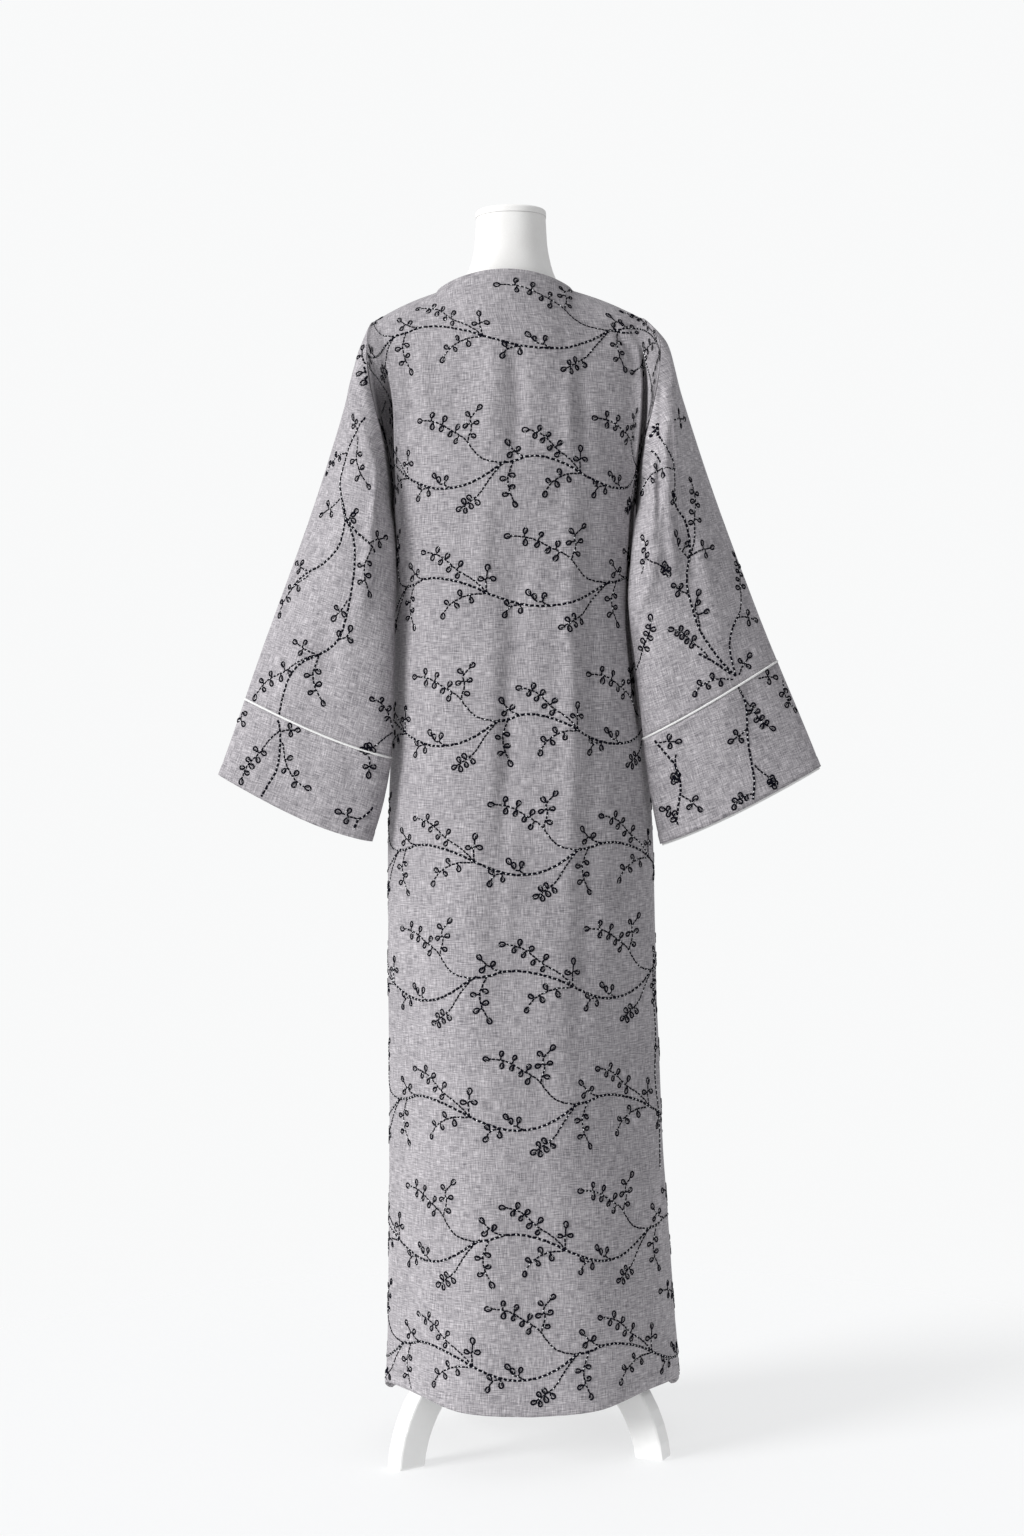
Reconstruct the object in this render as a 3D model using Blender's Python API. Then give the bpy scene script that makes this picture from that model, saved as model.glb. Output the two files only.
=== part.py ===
"""Open-front abaya resting on a limbless dress form with a three-legged stand.

+Z is up, +X is the wearer's left, and the front of the garment faces -Y.
All sizes are in millimetres. They become metres when an object is made.
"""

import math

import bmesh
import bpy
import numpy as np

METRES = 0.001

# The body's middle lies this far behind the origin, which is under the middle of the whole object.
# The pole stands a little off the body's middle.
BODY_BACK = 10.6
POLE_LEFT = 6.5
POLE_BACK = 8.0

# Cloth
WALL = 1.6
SEAM_GAP = 0.4
ARMHOLE_GAP = 0.6
SECTION_ROUNDNESS = 2.3

# Heights where the lower body ends and where the sleeves begin and end
TURN_HEIGHT = 1000.0
UNDERARM_HEIGHT = 1155.0
TIP_HEIGHT = 1389.0
CUFF_OUTER_HEIGHT = 831.0
CUFF_INNER_HEIGHT = {"left": 747.0, "right": 739.0}

# Neckline, shoulder and armhole
NECK_HALF_WIDTH = 84.0
NECK_BACK_DEPTH = 58.0
NECK_BACK_HEIGHT = 1442.0
NECK_POINT_HEIGHT = 1425.0
NECK_DROP_POWER = 2.0
NECK_FRONT_POWER = 2.2
NECK_FRONT_ROUNDING = 0.9
NECK_FRONT_HEIGHT = 1352.0
NECK_FRONT_DEPTH = 104.0
SHOULDER_TIP = 167.0
SHOULDER_BOW = 3.0
ARMHOLE_HALF_DEPTH = 60.0

# Sleeves: piping place along the outer fold, and how the inner fold lags behind the outer one
PIPING_PLACE = {"left": 0.8344, "right": 0.7676}
INNER_LAG = {"left": 1.585, "right": 1.4}
CUFF_EDGE_BOW = {"left": 8.5, "right": 4.5}
CUFF_EDGE_SKEW = 0.35
PIPING_RADIUS = 1.3
PIPING_DEPTH = 0.8
PIPING_CLEARANCE = 1.7
PIPING_STEP = 4.0

# White edging inside the right cuff
EDGING_WALL = 1.0
EDGING_GAP = 0.8
EDGING_HEIGHT = 14.0
EDGING_SHOW = 2.5

# Mesh fineness
NECK_COLUMNS = 4
SHOULDER_COLUMNS = 5
ARMHOLE_COLUMNS = 12
SKIRT_ROWS = 9
YOKE_ROWS = 11
SLEEVE_AROUND = 2 * ARMHOLE_COLUMNS
SHARPEST_FOLD = 0.45
CUFF_ROWS = 3
TORSO_AROUND = 28
PIPING_SIDES = 6
SMOOTH_ANGLE = 40.0
WOOD_EDGE_ANGLE = 35.0

# Dress form
CAP_TOP_HEIGHT = 1524.0
CAP_OVERHANG = 0.6
CAP_ROUNDING = 3.0
CAP_CORNER_UP = 0.7
CAP_CORNER_IN = 0.35
FORM_GAP = 0.3

# Stand
POLE_RADIUS = 14.0
POLE_SIDES = 24
HUB_APOTHEM = 34.0
HUB_BOTTOM = 104.0
HUB_TOP = 172.0
HUB_EDGE = 3.0
LEG_CENTRE_REACH = 22.3
LEG_CENTRE_HEIGHT = -13.5
LEG_RADIUS = 150.5
LEG_DEPTH = 37.0
LEG_WIDTH = 28.0
LEG_EDGE = 3.0
LEG_STEPS = 12
LEG_TURN = {"leg_1": 55.0, "leg_2": -65.0, "leg_3": 175.0}


class Table:
    """Rows of sizes, read as smooth curves over the first column."""

    def __init__(self, columns, rows):
        ordered = sorted(rows)
        self.keys = np.array([row[0] for row in ordered], dtype=float)
        self.curves = {}
        for place, name in enumerate(columns[1:], start=1):
            values = np.array([row[place] for row in ordered], dtype=float)
            self.curves[name] = (values, even_slopes(self.keys, values))

    def at(self, name, key):
        values, slopes = self.curves[name]
        keys = self.keys
        key = np.clip(key, keys[0], keys[-1])
        low = np.clip(np.searchsorted(keys, key) - 1, 0, len(keys) - 2)
        step = keys[low + 1] - keys[low]
        part = (key - keys[low]) / step
        rest = 1.0 - part
        ends = rest * rest * (1 + 2 * part) * values[low] + part * part * (3 - 2 * part) * values[low + 1]
        bends = rest * rest * part * slopes[low] - part * part * rest * slopes[low + 1]
        return ends + step * bends


def even_slopes(keys, values):
    """Slopes that keep a curve between its neighbouring points."""
    rates = np.diff(values) / np.diff(keys)
    slopes = np.zeros(len(values))
    slopes[0] = rates[0]
    slopes[-1] = rates[-1]
    before = rates[:-1]
    after = rates[1:]
    same_way = before * after > 0
    total = np.where(same_way, before + after, 1.0)
    slopes[1:-1] = np.where(same_way, 2 * before * after / total, 0.0)
    return slopes


# Outer face of the body below the yoke
BODY = Table(
    ("height", "half_width", "back_depth", "front_depth", "front_edge"),
    [
        (20, 183.0, 165.0, 151.0, 46.0),
        (75, 181.0, 161.0, 148.0, 45.0),
        (174, 175.5, 155.0, 143.0, 43.0),
        (298, 171.0, 148.0, 138.0, 41.0),
        (422, 167.5, 141.0, 134.0, 39.0),
        (546, 165.5, 134.0, 130.0, 37.5),
        (720, 164.5, 125.0, 127.0, 36.0),
        (800, 162.0, 120.5, 125.0, 35.5),
        (849, 159.0, 118.0, 124.0, 35.0),
        (923, 154.0, 114.0, 122.5, 35.0),
        (1000, 150.5, 111.0, 121.5, 35.0),
        (1060, 149.0, 110.5, 121.0, 35.0),
    ],
)

# How the body's surface is worked out: the drop used to read the skirt's slope at its top, the share
# of a panel over which folds die out at its side seam, how fast they grow below their start, and how
# far they push backwards rather than sideways
SLOPE_DROP = 20.0
SEAM_FADE_SHARE = 0.12
FOLD_START_RATE = 2.5
FOLD_BACKWARDS = 1.2
YOKE_ROW_POWER = 0.95

# Height of the hem, from the centre back (0) past the side seam (1) to the front edge (2)
HEM = Table(
    ("place", "height"),
    [(0.0, 72.0), (0.25, 77.0), (0.5, 87.0), (0.75, 90.0), (0.9, 84.0), (1.0, 72.0), (1.1, 62.0), (1.25, 54.0),
     (1.6, 44.0), (2.0, 42.0)],
)

# How far the cloth, and the form inside it, stand off the middle towards the wearer's left
CLOTH_LEAN = Table(
    ("height", "left"),
    [(75, -4.5), (120, -6.0), (174, -5.0), (298, -3.0), (422, -1.5), (546, 0.0), (850, 0.0), (1000, 2.5),
     (1155, 1.0), (1350, 0.0), (1390, 7.0), (1416, 9.5), (1430, 10.5)],
)
FORM_LEAN = Table(
    ("height", "left"),
    [(1000, 1.5), (1155, 1.0), (1350, 0.0), (1390, 7.0), (1410, 9.0), (1418, 9.0), (1434, 5.0), (1460, 2.0),
     (1515, 1.0)],
)

# Armhole seam: how far out it lies at each height
ARMHOLE = Table(
    ("height", "out"),
    [(1155, 148.0), (1190, 150.5), (1230, 158.0), (1275, 169.0), (1310, 176.0), (1345, 179.5), (1370, 176.0),
     (1389, 167.0)],
)

# How each column of a body panel leaves its top edge: a direction and a length
LEAVE_BACK = Table(
    ("place", "out", "back", "up", "length"),
    [
        (0.0, 0.0, -0.60, 0.80, 210.0),
        (0.20, 0.05, -0.72, 0.66, 230.0),
        (0.30, 0.10, -0.92, 0.32, 265.0),
        (0.36, 0.10, -0.98, 0.12, 280.0),
        (0.50, 0.10, -0.99, 0.05, 260.0),
        (0.62, 0.15, -0.98, 0.05, 200.0),
        (0.70, 0.40, -0.70, 0.60, 140.0),
        (0.81, 0.48, -0.18, 0.86, 120.0),
        (0.88, 0.42, 0.00, 0.90, 110.0),
        (0.94, 0.22, 0.08, 0.97, 90.0),
        (1.0, 0.04, 0.0, 1.00, 70.0),
    ],
)
LEAVE_FRONT = Table(
    ("place", "out", "back", "up", "length"),
    [
        (0.0, 0.0, -0.30, 0.95, 150.0),
        (0.16, 0.08, -0.50, 0.85, 190.0),
        (0.24, 0.12, -0.84, 0.50, 240.0),
        (0.30, 0.12, -0.98, 0.14, 280.0),
        (0.46, 0.12, -0.99, 0.05, 260.0),
        (0.60, 0.15, -0.98, 0.05, 200.0),
        (0.69, 0.40, -0.70, 0.60, 140.0),
        (0.80, 0.48, -0.18, 0.86, 120.0),
        (0.88, 0.42, 0.00, 0.90, 110.0),
        (0.94, 0.22, 0.08, 0.97, 90.0),
        (1.0, 0.04, 0.0, 1.00, 70.0),
    ],
)
RISE_LENGTH = Table(("place", "share"), [(0.0, 1.5), (0.4, 1.6), (0.62, 1.45), (0.8, 1.1), (1.0, 1.0)])
TOP_ENDS = {"back": (0.36, 0.62), "front": (0.30, 0.60)}

# Long soft folds: place across the panel, half width, depth at the hem, height where it fades out
BACK_FOLDS = [
    (-0.86, 0.09, 4.0, 900.0),
    (-0.56, 0.13, -6.0, 1120.0),
    (-0.24, 0.15, 7.0, 1250.0),
    (0.02, 0.10, -4.0, 1330.0),
    (0.26, 0.16, 7.0, 1200.0),
    (0.60, 0.13, -4.5, 1050.0),
    (0.86, 0.09, 4.0, 820.0),
]
FRONT_FOLDS = [
    (0.18, 0.14, 7.0, 1000.0),
    (0.42, 0.12, -6.0, 1150.0),
    (0.66, 0.12, 7.0, 1080.0),
    (0.86, 0.08, -4.0, 860.0),
]
FOLD_HEIGHT_SHARE = 0.28

# Outer and inner folds of a sleeve against height
SLEEVE_OUTER = Table(
    ("height", "out"),
    [(831, 369.5), (918, 336.5), (1042, 290.0), (1167, 245.5), (1292, 207.0), (1315, 200.5), (1340, 192.5),
     (1365, 183.0), (1380, 174.0), (1389, 167.4)],
)
SLEEVE_INNER = Table(
    ("height", "left", "right"),
    [(739, 183.5, 170.5), (747, 181.0, 168.5), (800, 165.0, 159.0), (849, 156.0, 152.5), (923, 151.0, 147.0),
     (997, 147.5, 142.5), (1050, 147.5, 144.5), (1094, 150.0, 149.0), (1130, 152.5, 152.0),
     (1150, 151.0, 151.0), (1155, 148.4, 148.4)],
)

# Depth of a sleeve along its length, from the armhole (0) to the cuff's edge (1)
SLEEVE_DEPTH = Table(
    ("place", "outer_back", "inner_back", "half_depth", "crispness"),
    [
        (0.0, 0.0, 0.0, 60.0, 1.0),
        (0.06, 2.0, 10.0, 60.5, 1.0),
        (0.12, 5.0, 27.0, 58.0, 1.0),
        (0.25, 12.0, 46.0, 51.0, 1.05),
        (0.5, 24.0, 56.0, 41.0, 1.15),
        (0.75, 31.0, 57.0, 33.0, 1.25),
        (1.0, 34.0, 50.0, 27.0, 1.3),
    ],
)

# Long folds on a sleeve: side, face, place across at both ends (1 outer fold, -1 inner fold),
# where it starts and ends along the sleeve, half width and height
SLEEVE_FOLDS = [
    ("left", "back", -0.50, -0.35, 0.02, 0.62, 0.16, 7.0),
    ("left", "back", 0.25, 0.30, 0.30, 0.95, 0.22, 4.0),
    ("right", "back", -0.35, -0.62, 0.02, 0.40, 0.13, 7.0),
    ("right", "back", 0.12, -0.15, 0.02, 0.50, 0.14, 7.0),
    ("right", "back", 0.50, 0.35, 0.04, 0.75, 0.15, 4.5),
    ("left", "front", -0.30, -0.25, 0.05, 0.60, 0.18, 5.0),
    ("left", "front", 0.35, 0.30, 0.20, 0.90, 0.20, 4.0),
    ("right", "front", -0.25, -0.30, 0.05, 0.60, 0.18, 5.0),
    ("right", "front", 0.40, 0.30, 0.20, 0.90, 0.20, 4.0),
]
# The armhole's shape fades out over the first share of a sleeve. Folds fade in from the sleeve's
# sharp edges and swell towards the middle of their length.
ARMHOLE_FADE_SHARE = 0.22
EDGE_FADE_TURN = 0.5
FOLD_SWELL_POWER = 0.7
LAST_STATION_MARGIN = 0.05
SLEEVE_STATIONS = (0.0, 0.012, 0.03, 0.06, 0.10, 0.16, 0.24, 0.33, 0.43, 0.54, 0.65)

# Torso and neck of the dress form
TORSO = Table(
    ("height", "half_width", "back_depth", "front_depth"),
    [
        (762, 128.0, 80.0, 78.0),
        (768, 136.0, 87.0, 84.0),
        (785, 142.0, 92.0, 88.0),
        (830, 144.0, 95.0, 91.0),
        (900, 133.0, 88.0, 87.0),
        (975, 121.0, 78.0, 84.0),
        (1040, 122.0, 80.0, 92.0),
        (1110, 130.0, 86.0, 104.0),
        (1165, 135.0, 91.0, 107.0),
        (1230, 139.0, 92.0, 98.0),
        (1290, 144.0, 86.0, 85.0),
        (1335, 149.0, 74.0, 71.0),
        (1365, 152.0, 61.0, 59.0),
        (1380, 151.0, 53.0, 52.0),
        (1391, 142.5, 47.0, 45.0),
        (1401, 125.0, 43.5, 42.0),
        (1410, 105.0, 42.0, 41.0),
        (1417, 88.0, 42.0, 41.0),
        (1425, 73.0, 43.0, 41.0),
        (1434, 62.0, 44.0, 41.5),
        (1444, 55.0, 44.5, 42.0),
        (1460, 49.0, 44.5, 42.0),
        (1482, 45.0, 44.0, 42.0),
        (1515.2, 43.0, 43.0, 41.0),
    ],
)
TORSO_ROUNDNESS = 2.15

# Material slots: colour, roughness, metallic
MATERIALS = {
    "linen_cloth": ((0.36, 0.35, 0.36), 0.9, 0.0),
    "white_piping": ((0.86, 0.86, 0.85), 0.6, 0.0),
    "form_cover": ((0.83, 0.82, 0.80), 0.85, 0.0),
    "white_wood": ((0.86, 0.86, 0.85), 0.4, 0.0),
    "white_metal": ((0.84, 0.84, 0.84), 0.35, 0.0),
}


def clear_scene():
    for thing in list(bpy.data.objects):
        bpy.data.objects.remove(thing, do_unlink=True)


def material(slot):
    """The shared material of a slot, made when it is first asked for."""
    found = bpy.data.materials.get(slot)
    if found:
        return found
    colour, roughness, metallic = MATERIALS[slot]
    made = bpy.data.materials.new(slot)
    made.use_nodes = True
    surface = made.node_tree.nodes["Principled BSDF"]
    surface.inputs["Base Color"].default_value = (*colour, 1.0)
    surface.inputs["Roughness"].default_value = roughness
    surface.inputs["Metallic"].default_value = metallic
    made.diffuse_color = (*colour, 1.0)
    return made


def add_object(name, points, faces, slot):
    """A closed mesh from points in millimetres, with its faces turned outwards."""
    place = np.array([0.0, BODY_BACK, 0.0])
    mesh = bpy.data.meshes.new(name)
    mesh.from_pydata([tuple((np.asarray(point) + place) * METRES) for point in points], [], faces)
    work = bmesh.new()
    work.from_mesh(mesh)
    bmesh.ops.recalc_face_normals(work, faces=work.faces)
    work.to_mesh(mesh)
    work.free()
    mesh.shade_smooth()
    mesh.set_sharp_from_angle(angle=math.radians(SMOOTH_ANGLE))
    mesh.materials.append(material(slot))
    made = bpy.data.objects.new(name, mesh)
    bpy.context.scene.collection.objects.link(made)
    return made


def grid_faces(rows, columns, start, wraps):
    """Quads over a grid of points, closed round when it wraps."""
    faces = []
    last = columns if wraps else columns - 1
    for row in range(rows - 1):
        for column in range(last):
            after = (column + 1) % columns
            low = start + row * columns
            high = low + columns
            faces.append((low + column, low + after, high + after, high + column))
    return faces


def sheet_solid(outer, inner, wraps):
    """Points and faces of a wall between an outer and an inner grid."""
    rows, columns = outer.shape[:2]
    count = rows * columns
    points = np.concatenate([outer.reshape(-1, 3), inner.reshape(-1, 3)])
    faces = grid_faces(rows, columns, 0, wraps)
    faces += [tuple(reversed(face)) for face in grid_faces(rows, columns, count, wraps)]
    last = columns if wraps else columns - 1
    top = (rows - 1) * columns
    for column in range(last):
        after = (column + 1) % columns
        faces.append((after, column, count + column, count + after))
        faces.append((top + column, top + after, count + top + after, count + top + column))
    if not wraps:
        for row in range(rows - 1):
            low = row * columns
            high = low + columns
            faces.append((low, high, count + high, count + low))
            far_low = low + columns - 1
            far_high = high + columns - 1
            faces.append((far_high, far_low, count + far_low, count + far_high))
    return points, faces


def grid_normals(grid, wraps):
    """Unit normals of a grid of points. The caller picks the outward sense."""
    if wraps:
        padded = np.concatenate([grid[:, -1:], grid, grid[:, :1]], axis=1)
        across = (padded[:, 2:] - padded[:, :-2]) / 2
    else:
        across = np.gradient(grid, axis=1)
    along = np.gradient(grid, axis=0)
    normals = np.cross(across, along)
    return normals / np.linalg.norm(normals, axis=2, keepdims=True)


def smooth_step(value):
    value = np.clip(value, 0.0, 1.0)
    return value * value * (3 - 2 * value)


# Body panels

def section_point(face, place, height):
    """Point on the body's level section. place is 0 at the centre or front edge, 1 at the side."""
    half_width = BODY.at("half_width", height)
    depth = BODY.at(face + "_depth", height)
    power = 2 / SECTION_ROUNDNESS
    start = 0.0
    if face == "front":
        start = np.arcsin((BODY.at("front_edge", height) / half_width) ** (1 / power))
    angle = start + place * (math.pi / 2 - start)
    out = half_width * np.sin(angle) ** power
    back = depth * np.clip(np.cos(angle), 0.0, 1.0) ** power
    return np.array([out, back, height])


def shoulder_point(share):
    """Point on the shoulder seam, from the neck (0) to the tip (1)."""
    out = NECK_HALF_WIDTH + share * (SHOULDER_TIP - NECK_HALF_WIDTH)
    height = NECK_POINT_HEIGHT + share * (TIP_HEIGHT - NECK_POINT_HEIGHT)
    return np.array([out, 0.0, height + SHOULDER_BOW * math.sin(math.pi * share)])


def neckline_point(face, share):
    """Point on the neckline, from the centre or front edge (0) to the shoulder seam (1)."""
    if face == "back":
        angle = share * math.pi / 2
        out = NECK_HALF_WIDTH * math.sin(angle)
        drop = (NECK_BACK_HEIGHT - NECK_POINT_HEIGHT) * math.sin(angle) ** NECK_DROP_POWER
        return np.array([out, NECK_BACK_DEPTH * math.cos(angle), NECK_BACK_HEIGHT - drop])
    edge = float(BODY.at("front_edge", TURN_HEIGHT))
    angle = share * math.pi / 2
    out = edge + (NECK_HALF_WIDTH - edge) * math.sin(angle)
    rise = (NECK_POINT_HEIGHT - NECK_FRONT_HEIGHT) * (1 - math.cos(angle) ** NECK_FRONT_POWER)
    return np.array([out, NECK_FRONT_DEPTH * math.cos(angle) ** NECK_FRONT_ROUNDING, NECK_FRONT_HEIGHT + rise])


def armhole_point(angle):
    """Point on the armhole seam. The angle runs from the shoulder tip to the underarm."""
    middle = (TIP_HEIGHT + UNDERARM_HEIGHT) / 2
    height = middle + (TIP_HEIGHT - middle) * math.cos(angle)
    return np.array([float(ARMHOLE.at("out", height)), ARMHOLE_HALF_DEPTH * math.sin(angle), height])


def top_edge_point(face, place):
    neck_end, tip_end = TOP_ENDS[face]
    if place <= neck_end:
        return neckline_point(face, place / neck_end)
    if place <= tip_end:
        return shoulder_point((place - neck_end) / (tip_end - neck_end))
    return armhole_point((place - tip_end) / (1 - tip_end) * math.pi)


def fold_depth(folds, place, height, hem):
    """How far the long folds push the cloth out at a place across and a height."""
    total = 0.0
    for centre, half_width, depth, fade in folds:
        share = np.clip((fade - height) / (fade - hem), 0.0, 1.0)
        strength = FOLD_HEIGHT_SHARE + (1 - FOLD_HEIGHT_SHARE) * share
        strength *= depth * smooth_step(share * FOLD_START_RATE)
        total += strength * math.exp(-(((place - centre) / half_width) ** 2))
    return total


def seam_fade(place):
    """Folds die out at the side seams."""
    return float(smooth_step((1 - abs(place)) / SEAM_FADE_SHARE))


def body_point(face, place, up):
    """Outer face of a body panel.

    place is 0 at the centre back or front edge and 1 at the side seam; on the back it is
    negative on the wearer's right. up is below 1 on the skirt and from 1 to 2 on the yoke.
    """
    sideways = -1.0 if place < 0 else 1.0
    share = abs(place)
    hem_place = share if face == "back" else 2 - share
    hem = float(HEM.at("height", hem_place))
    leave = LEAVE_BACK if face == "back" else LEAVE_FRONT
    if up <= 1:
        height = hem + up * (TURN_HEIGHT - hem)
        point = section_point(face, share, height)
    else:
        point = yoke_point(face, share, up - 1, leave)
    folds = BACK_FOLDS if face == "back" else FRONT_FOLDS
    push = fold_depth(folds, place, point[2], hem) * seam_fade(place)
    width = float(BODY.at("half_width", point[2]))
    outward = np.array([point[0] / width, FOLD_BACKWARDS, 0.0])
    outward /= np.linalg.norm(outward)
    point = point + push * outward
    point[1] += SEAM_GAP / 2
    point[0] *= sideways
    if face == "front":
        point[1] *= -1
    return point


def leaned(grid, lean=CLOTH_LEAN):
    """The grid moved off the middle by its lean at each height."""
    moved = grid.copy()
    moved[..., 0] += lean.at("left", grid[..., 2])
    return moved


def yoke_point(face, share, up, leave):
    """Cubic curve from the top of the skirt to the neckline, shoulder or armhole."""
    low = section_point(face, share, TURN_HEIGHT)
    below = section_point(face, share, TURN_HEIGHT - SLOPE_DROP)
    rise = (low - below) / SLOPE_DROP
    top = top_edge_point(face, share)
    reach = top[2] - low[2]
    heading = np.array([float(leave.at(name, share)) for name in ("out", "back", "up")])
    heading /= np.linalg.norm(heading)
    first = low + rise * reach * float(RISE_LENGTH.at("share", share)) / 3
    second = top - heading * float(leave.at("length", share)) / 3
    rest = 1 - up
    curve = rest**3 * low + 3 * rest * rest * up * first + 3 * rest * up * up * second + up**3 * top
    return curve


def half_places(face):
    """Places across a half panel, closest together where the armhole is."""
    neck_end, tip_end = TOP_ENDS[face]
    neck = [neck_end * step / NECK_COLUMNS for step in range(NECK_COLUMNS)]
    shoulder = [neck_end + (tip_end - neck_end) * step / SHOULDER_COLUMNS for step in range(SHOULDER_COLUMNS)]
    armhole = [tip_end + (1 - tip_end) * step / ARMHOLE_COLUMNS for step in range(ARMHOLE_COLUMNS + 1)]
    return neck + shoulder + armhole


def row_places():
    """Heights of the rows: even on the skirt, closer together towards the top edge."""
    skirt = [step / SKIRT_ROWS for step in range(SKIRT_ROWS)]
    yoke = [1 + (step / YOKE_ROWS) ** YOKE_ROW_POWER for step in range(YOKE_ROWS + 1)]
    return skirt + yoke


def body_panel(name, face, places, mirrored=False):
    rows = row_places()
    outer = np.array([[body_point(face, place, up) for place in places] for up in rows])
    if mirrored:
        outer[:, :, 0] *= -1
    normals = grid_normals(outer, wraps=False)
    middle = normals[len(rows) // 3, len(places) // 2]
    outward = 1.0 if face == "back" else -1.0
    if middle[1] * outward < 0:
        normals = -normals
    inner = outer - WALL * normals
    seam_plane = outward * SEAM_GAP / 2
    if face == "back":
        inner[:, :, 1] = np.maximum(inner[:, :, 1], seam_plane)
    else:
        inner[:, :, 1] = np.minimum(inner[:, :, 1], seam_plane)
    keep_inside_armhole(outer, inner)
    points, faces = sheet_solid(leaned(outer), leaned(inner), wraps=False)
    return add_object(name, points, faces, "linen_cloth")


def keep_inside_armhole(outer, inner):
    """The inner edge of the top row stays on the body's side of the armhole seam."""
    reach = np.minimum(np.abs(inner[-1, :, 0]), np.abs(outer[-1, :, 0]))
    inner[-1, :, 0] = np.sign(outer[-1, :, 0]) * reach


def make_body():
    half = half_places("back")
    whole = [-place for place in reversed(half[1:])] + half
    body_panel("back_panel", "back", whole)
    front = half_places("front")
    body_panel("front_left", "front", front)
    body_panel("front_right", "front", front, mirrored=True)


# Sleeves and cuffs

def sleeve_fold_height(side, face, across, along):
    """How far the long sleeve folds push the cloth out."""
    total = 0.0
    for fold_side, fold_face, first, last, start, end, half_width, height in SLEEVE_FOLDS:
        if fold_side != side or fold_face != face:
            continue
        share = (along - start) / (end - start)
        if share <= 0 or share >= 1:
            continue
        centre = first + (last - first) * share
        swell = math.sin(math.pi * share) ** FOLD_SWELL_POWER
        total += height * swell * math.exp(-(((across - centre) / half_width) ** 2))
    return total


def sleeve_point(side, turn, along):
    """Outer face of a sleeve and its cuff, as on the wearer's left.

    turn is an angle: 0 at the outer fold, a quarter turn at the back, half at the inner fold.
    along is 0 at the armhole and 1 at the cuff's edge.
    """
    across = math.cos(turn)
    outer_height = TIP_HEIGHT + along * (CUFF_OUTER_HEIGHT - TIP_HEIGHT)
    inner_height = UNDERARM_HEIGHT + along ** INNER_LAG[side] * (CUFF_INNER_HEIGHT[side] - UNDERARM_HEIGHT)
    outer_out = float(SLEEVE_OUTER.at("out", outer_height))
    inner_out = float(SLEEVE_INNER.at(side, inner_height))
    share = (1 + across) / 2
    bow = CUFF_EDGE_BOW[side] * along * along * (1 - across * across) * (1 - CUFF_EDGE_SKEW * across)
    height = inner_height + share * (outer_height - inner_height) - bow
    out = inner_out + share * (outer_out - inner_out)
    fade = 1 - float(smooth_step(along / ARMHOLE_FADE_SHARE))
    first = armhole_point(math.acos(max(-1.0, min(1.0, across))))
    underarm_out = ARMHOLE.at("out", UNDERARM_HEIGHT)
    first_line = SLEEVE_INNER.at(side, UNDERARM_HEIGHT) + share * (SHOULDER_TIP - underarm_out)
    bulge = first[0] + ARMHOLE_GAP - float(first_line)
    out += bulge * fade
    middle_back = float(SLEEVE_DEPTH.at("inner_back", along))
    middle_back += share * float(SLEEVE_DEPTH.at("outer_back", along) - SLEEVE_DEPTH.at("inner_back", along))
    crispness = float(SLEEVE_DEPTH.at("crispness", along))
    depth = float(SLEEVE_DEPTH.at("half_depth", along)) * abs(math.sin(turn)) ** crispness
    face = "back" if math.sin(turn) >= 0 else "front"
    sense = 1.0 if face == "back" else -1.0
    edge_fade = float(smooth_step(abs(math.sin(turn)) / EDGE_FADE_TURN))
    depth += sleeve_fold_height(side, face, across, along) * edge_fade
    return np.array([out, middle_back + sense * depth, height])


def tube_grid(side, stations):
    turns = [2 * math.pi * step / SLEEVE_AROUND for step in range(SLEEVE_AROUND)]
    return np.array([[sleeve_point(side, turn, along) for turn in turns] for along in stations])


def tube_normals(grid):
    """Outward normals of a tube, longer at its sharp folds so that its wall keeps its thickness."""
    normals = grid_normals(grid, wraps=True)
    centres = grid.mean(axis=1, keepdims=True)
    if np.sum(normals * (grid - centres)) < 0:
        normals = -normals
    after = np.roll(grid, -1, axis=1) - grid
    after /= np.linalg.norm(after, axis=2, keepdims=True)
    before = np.roll(after, 1, axis=1)
    half_turn = np.sqrt((1 + np.sum(after * before, axis=2, keepdims=True)) / 2)
    return normals / np.maximum(half_turn, SHARPEST_FOLD)


def placed_grid(side, grid):
    """A sleeve's grid on its own side of the body."""
    if side == "right":
        grid = grid * np.array([-1.0, 1.0, 1.0])
    return leaned(grid)


def flat_ring_normals(ring):
    """Normals of the armhole ring inside its upright plane, so that its edge faces the body."""
    after = np.roll(ring, -1, axis=0)
    before = np.roll(ring, 1, axis=0)
    along = after - before
    normals = np.stack([np.zeros(len(ring)), -along[:, 2], along[:, 1]], axis=1)
    normals /= np.linalg.norm(normals, axis=1, keepdims=True)
    if np.sum(normals * (ring - ring.mean(axis=0))) < 0:
        normals = -normals
    return normals


def length_share(side, millimetres):
    """A length along the outer fold as a share of the whole sleeve."""
    rise = TIP_HEIGHT - CUFF_OUTER_HEIGHT
    run = float(SLEEVE_OUTER.at("out", CUFF_OUTER_HEIGHT)) - SHOULDER_TIP
    return millimetres / math.hypot(rise, run)


def make_sleeve(side):
    end = PIPING_PLACE[side] - length_share(side, PIPING_CLEARANCE)
    stations = [place for place in SLEEVE_STATIONS if place < end - LAST_STATION_MARGIN]
    stations += [(stations[-1] + end) / 2, end]
    outer = tube_grid(side, stations)
    normals = tube_normals(outer)
    normals[0] = flat_ring_normals(outer[0])
    inner = outer - WALL * normals
    points, faces = sheet_solid(placed_grid(side, outer), placed_grid(side, inner), wraps=True)
    add_object("sleeve_" + side, points, faces, "linen_cloth")


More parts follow.
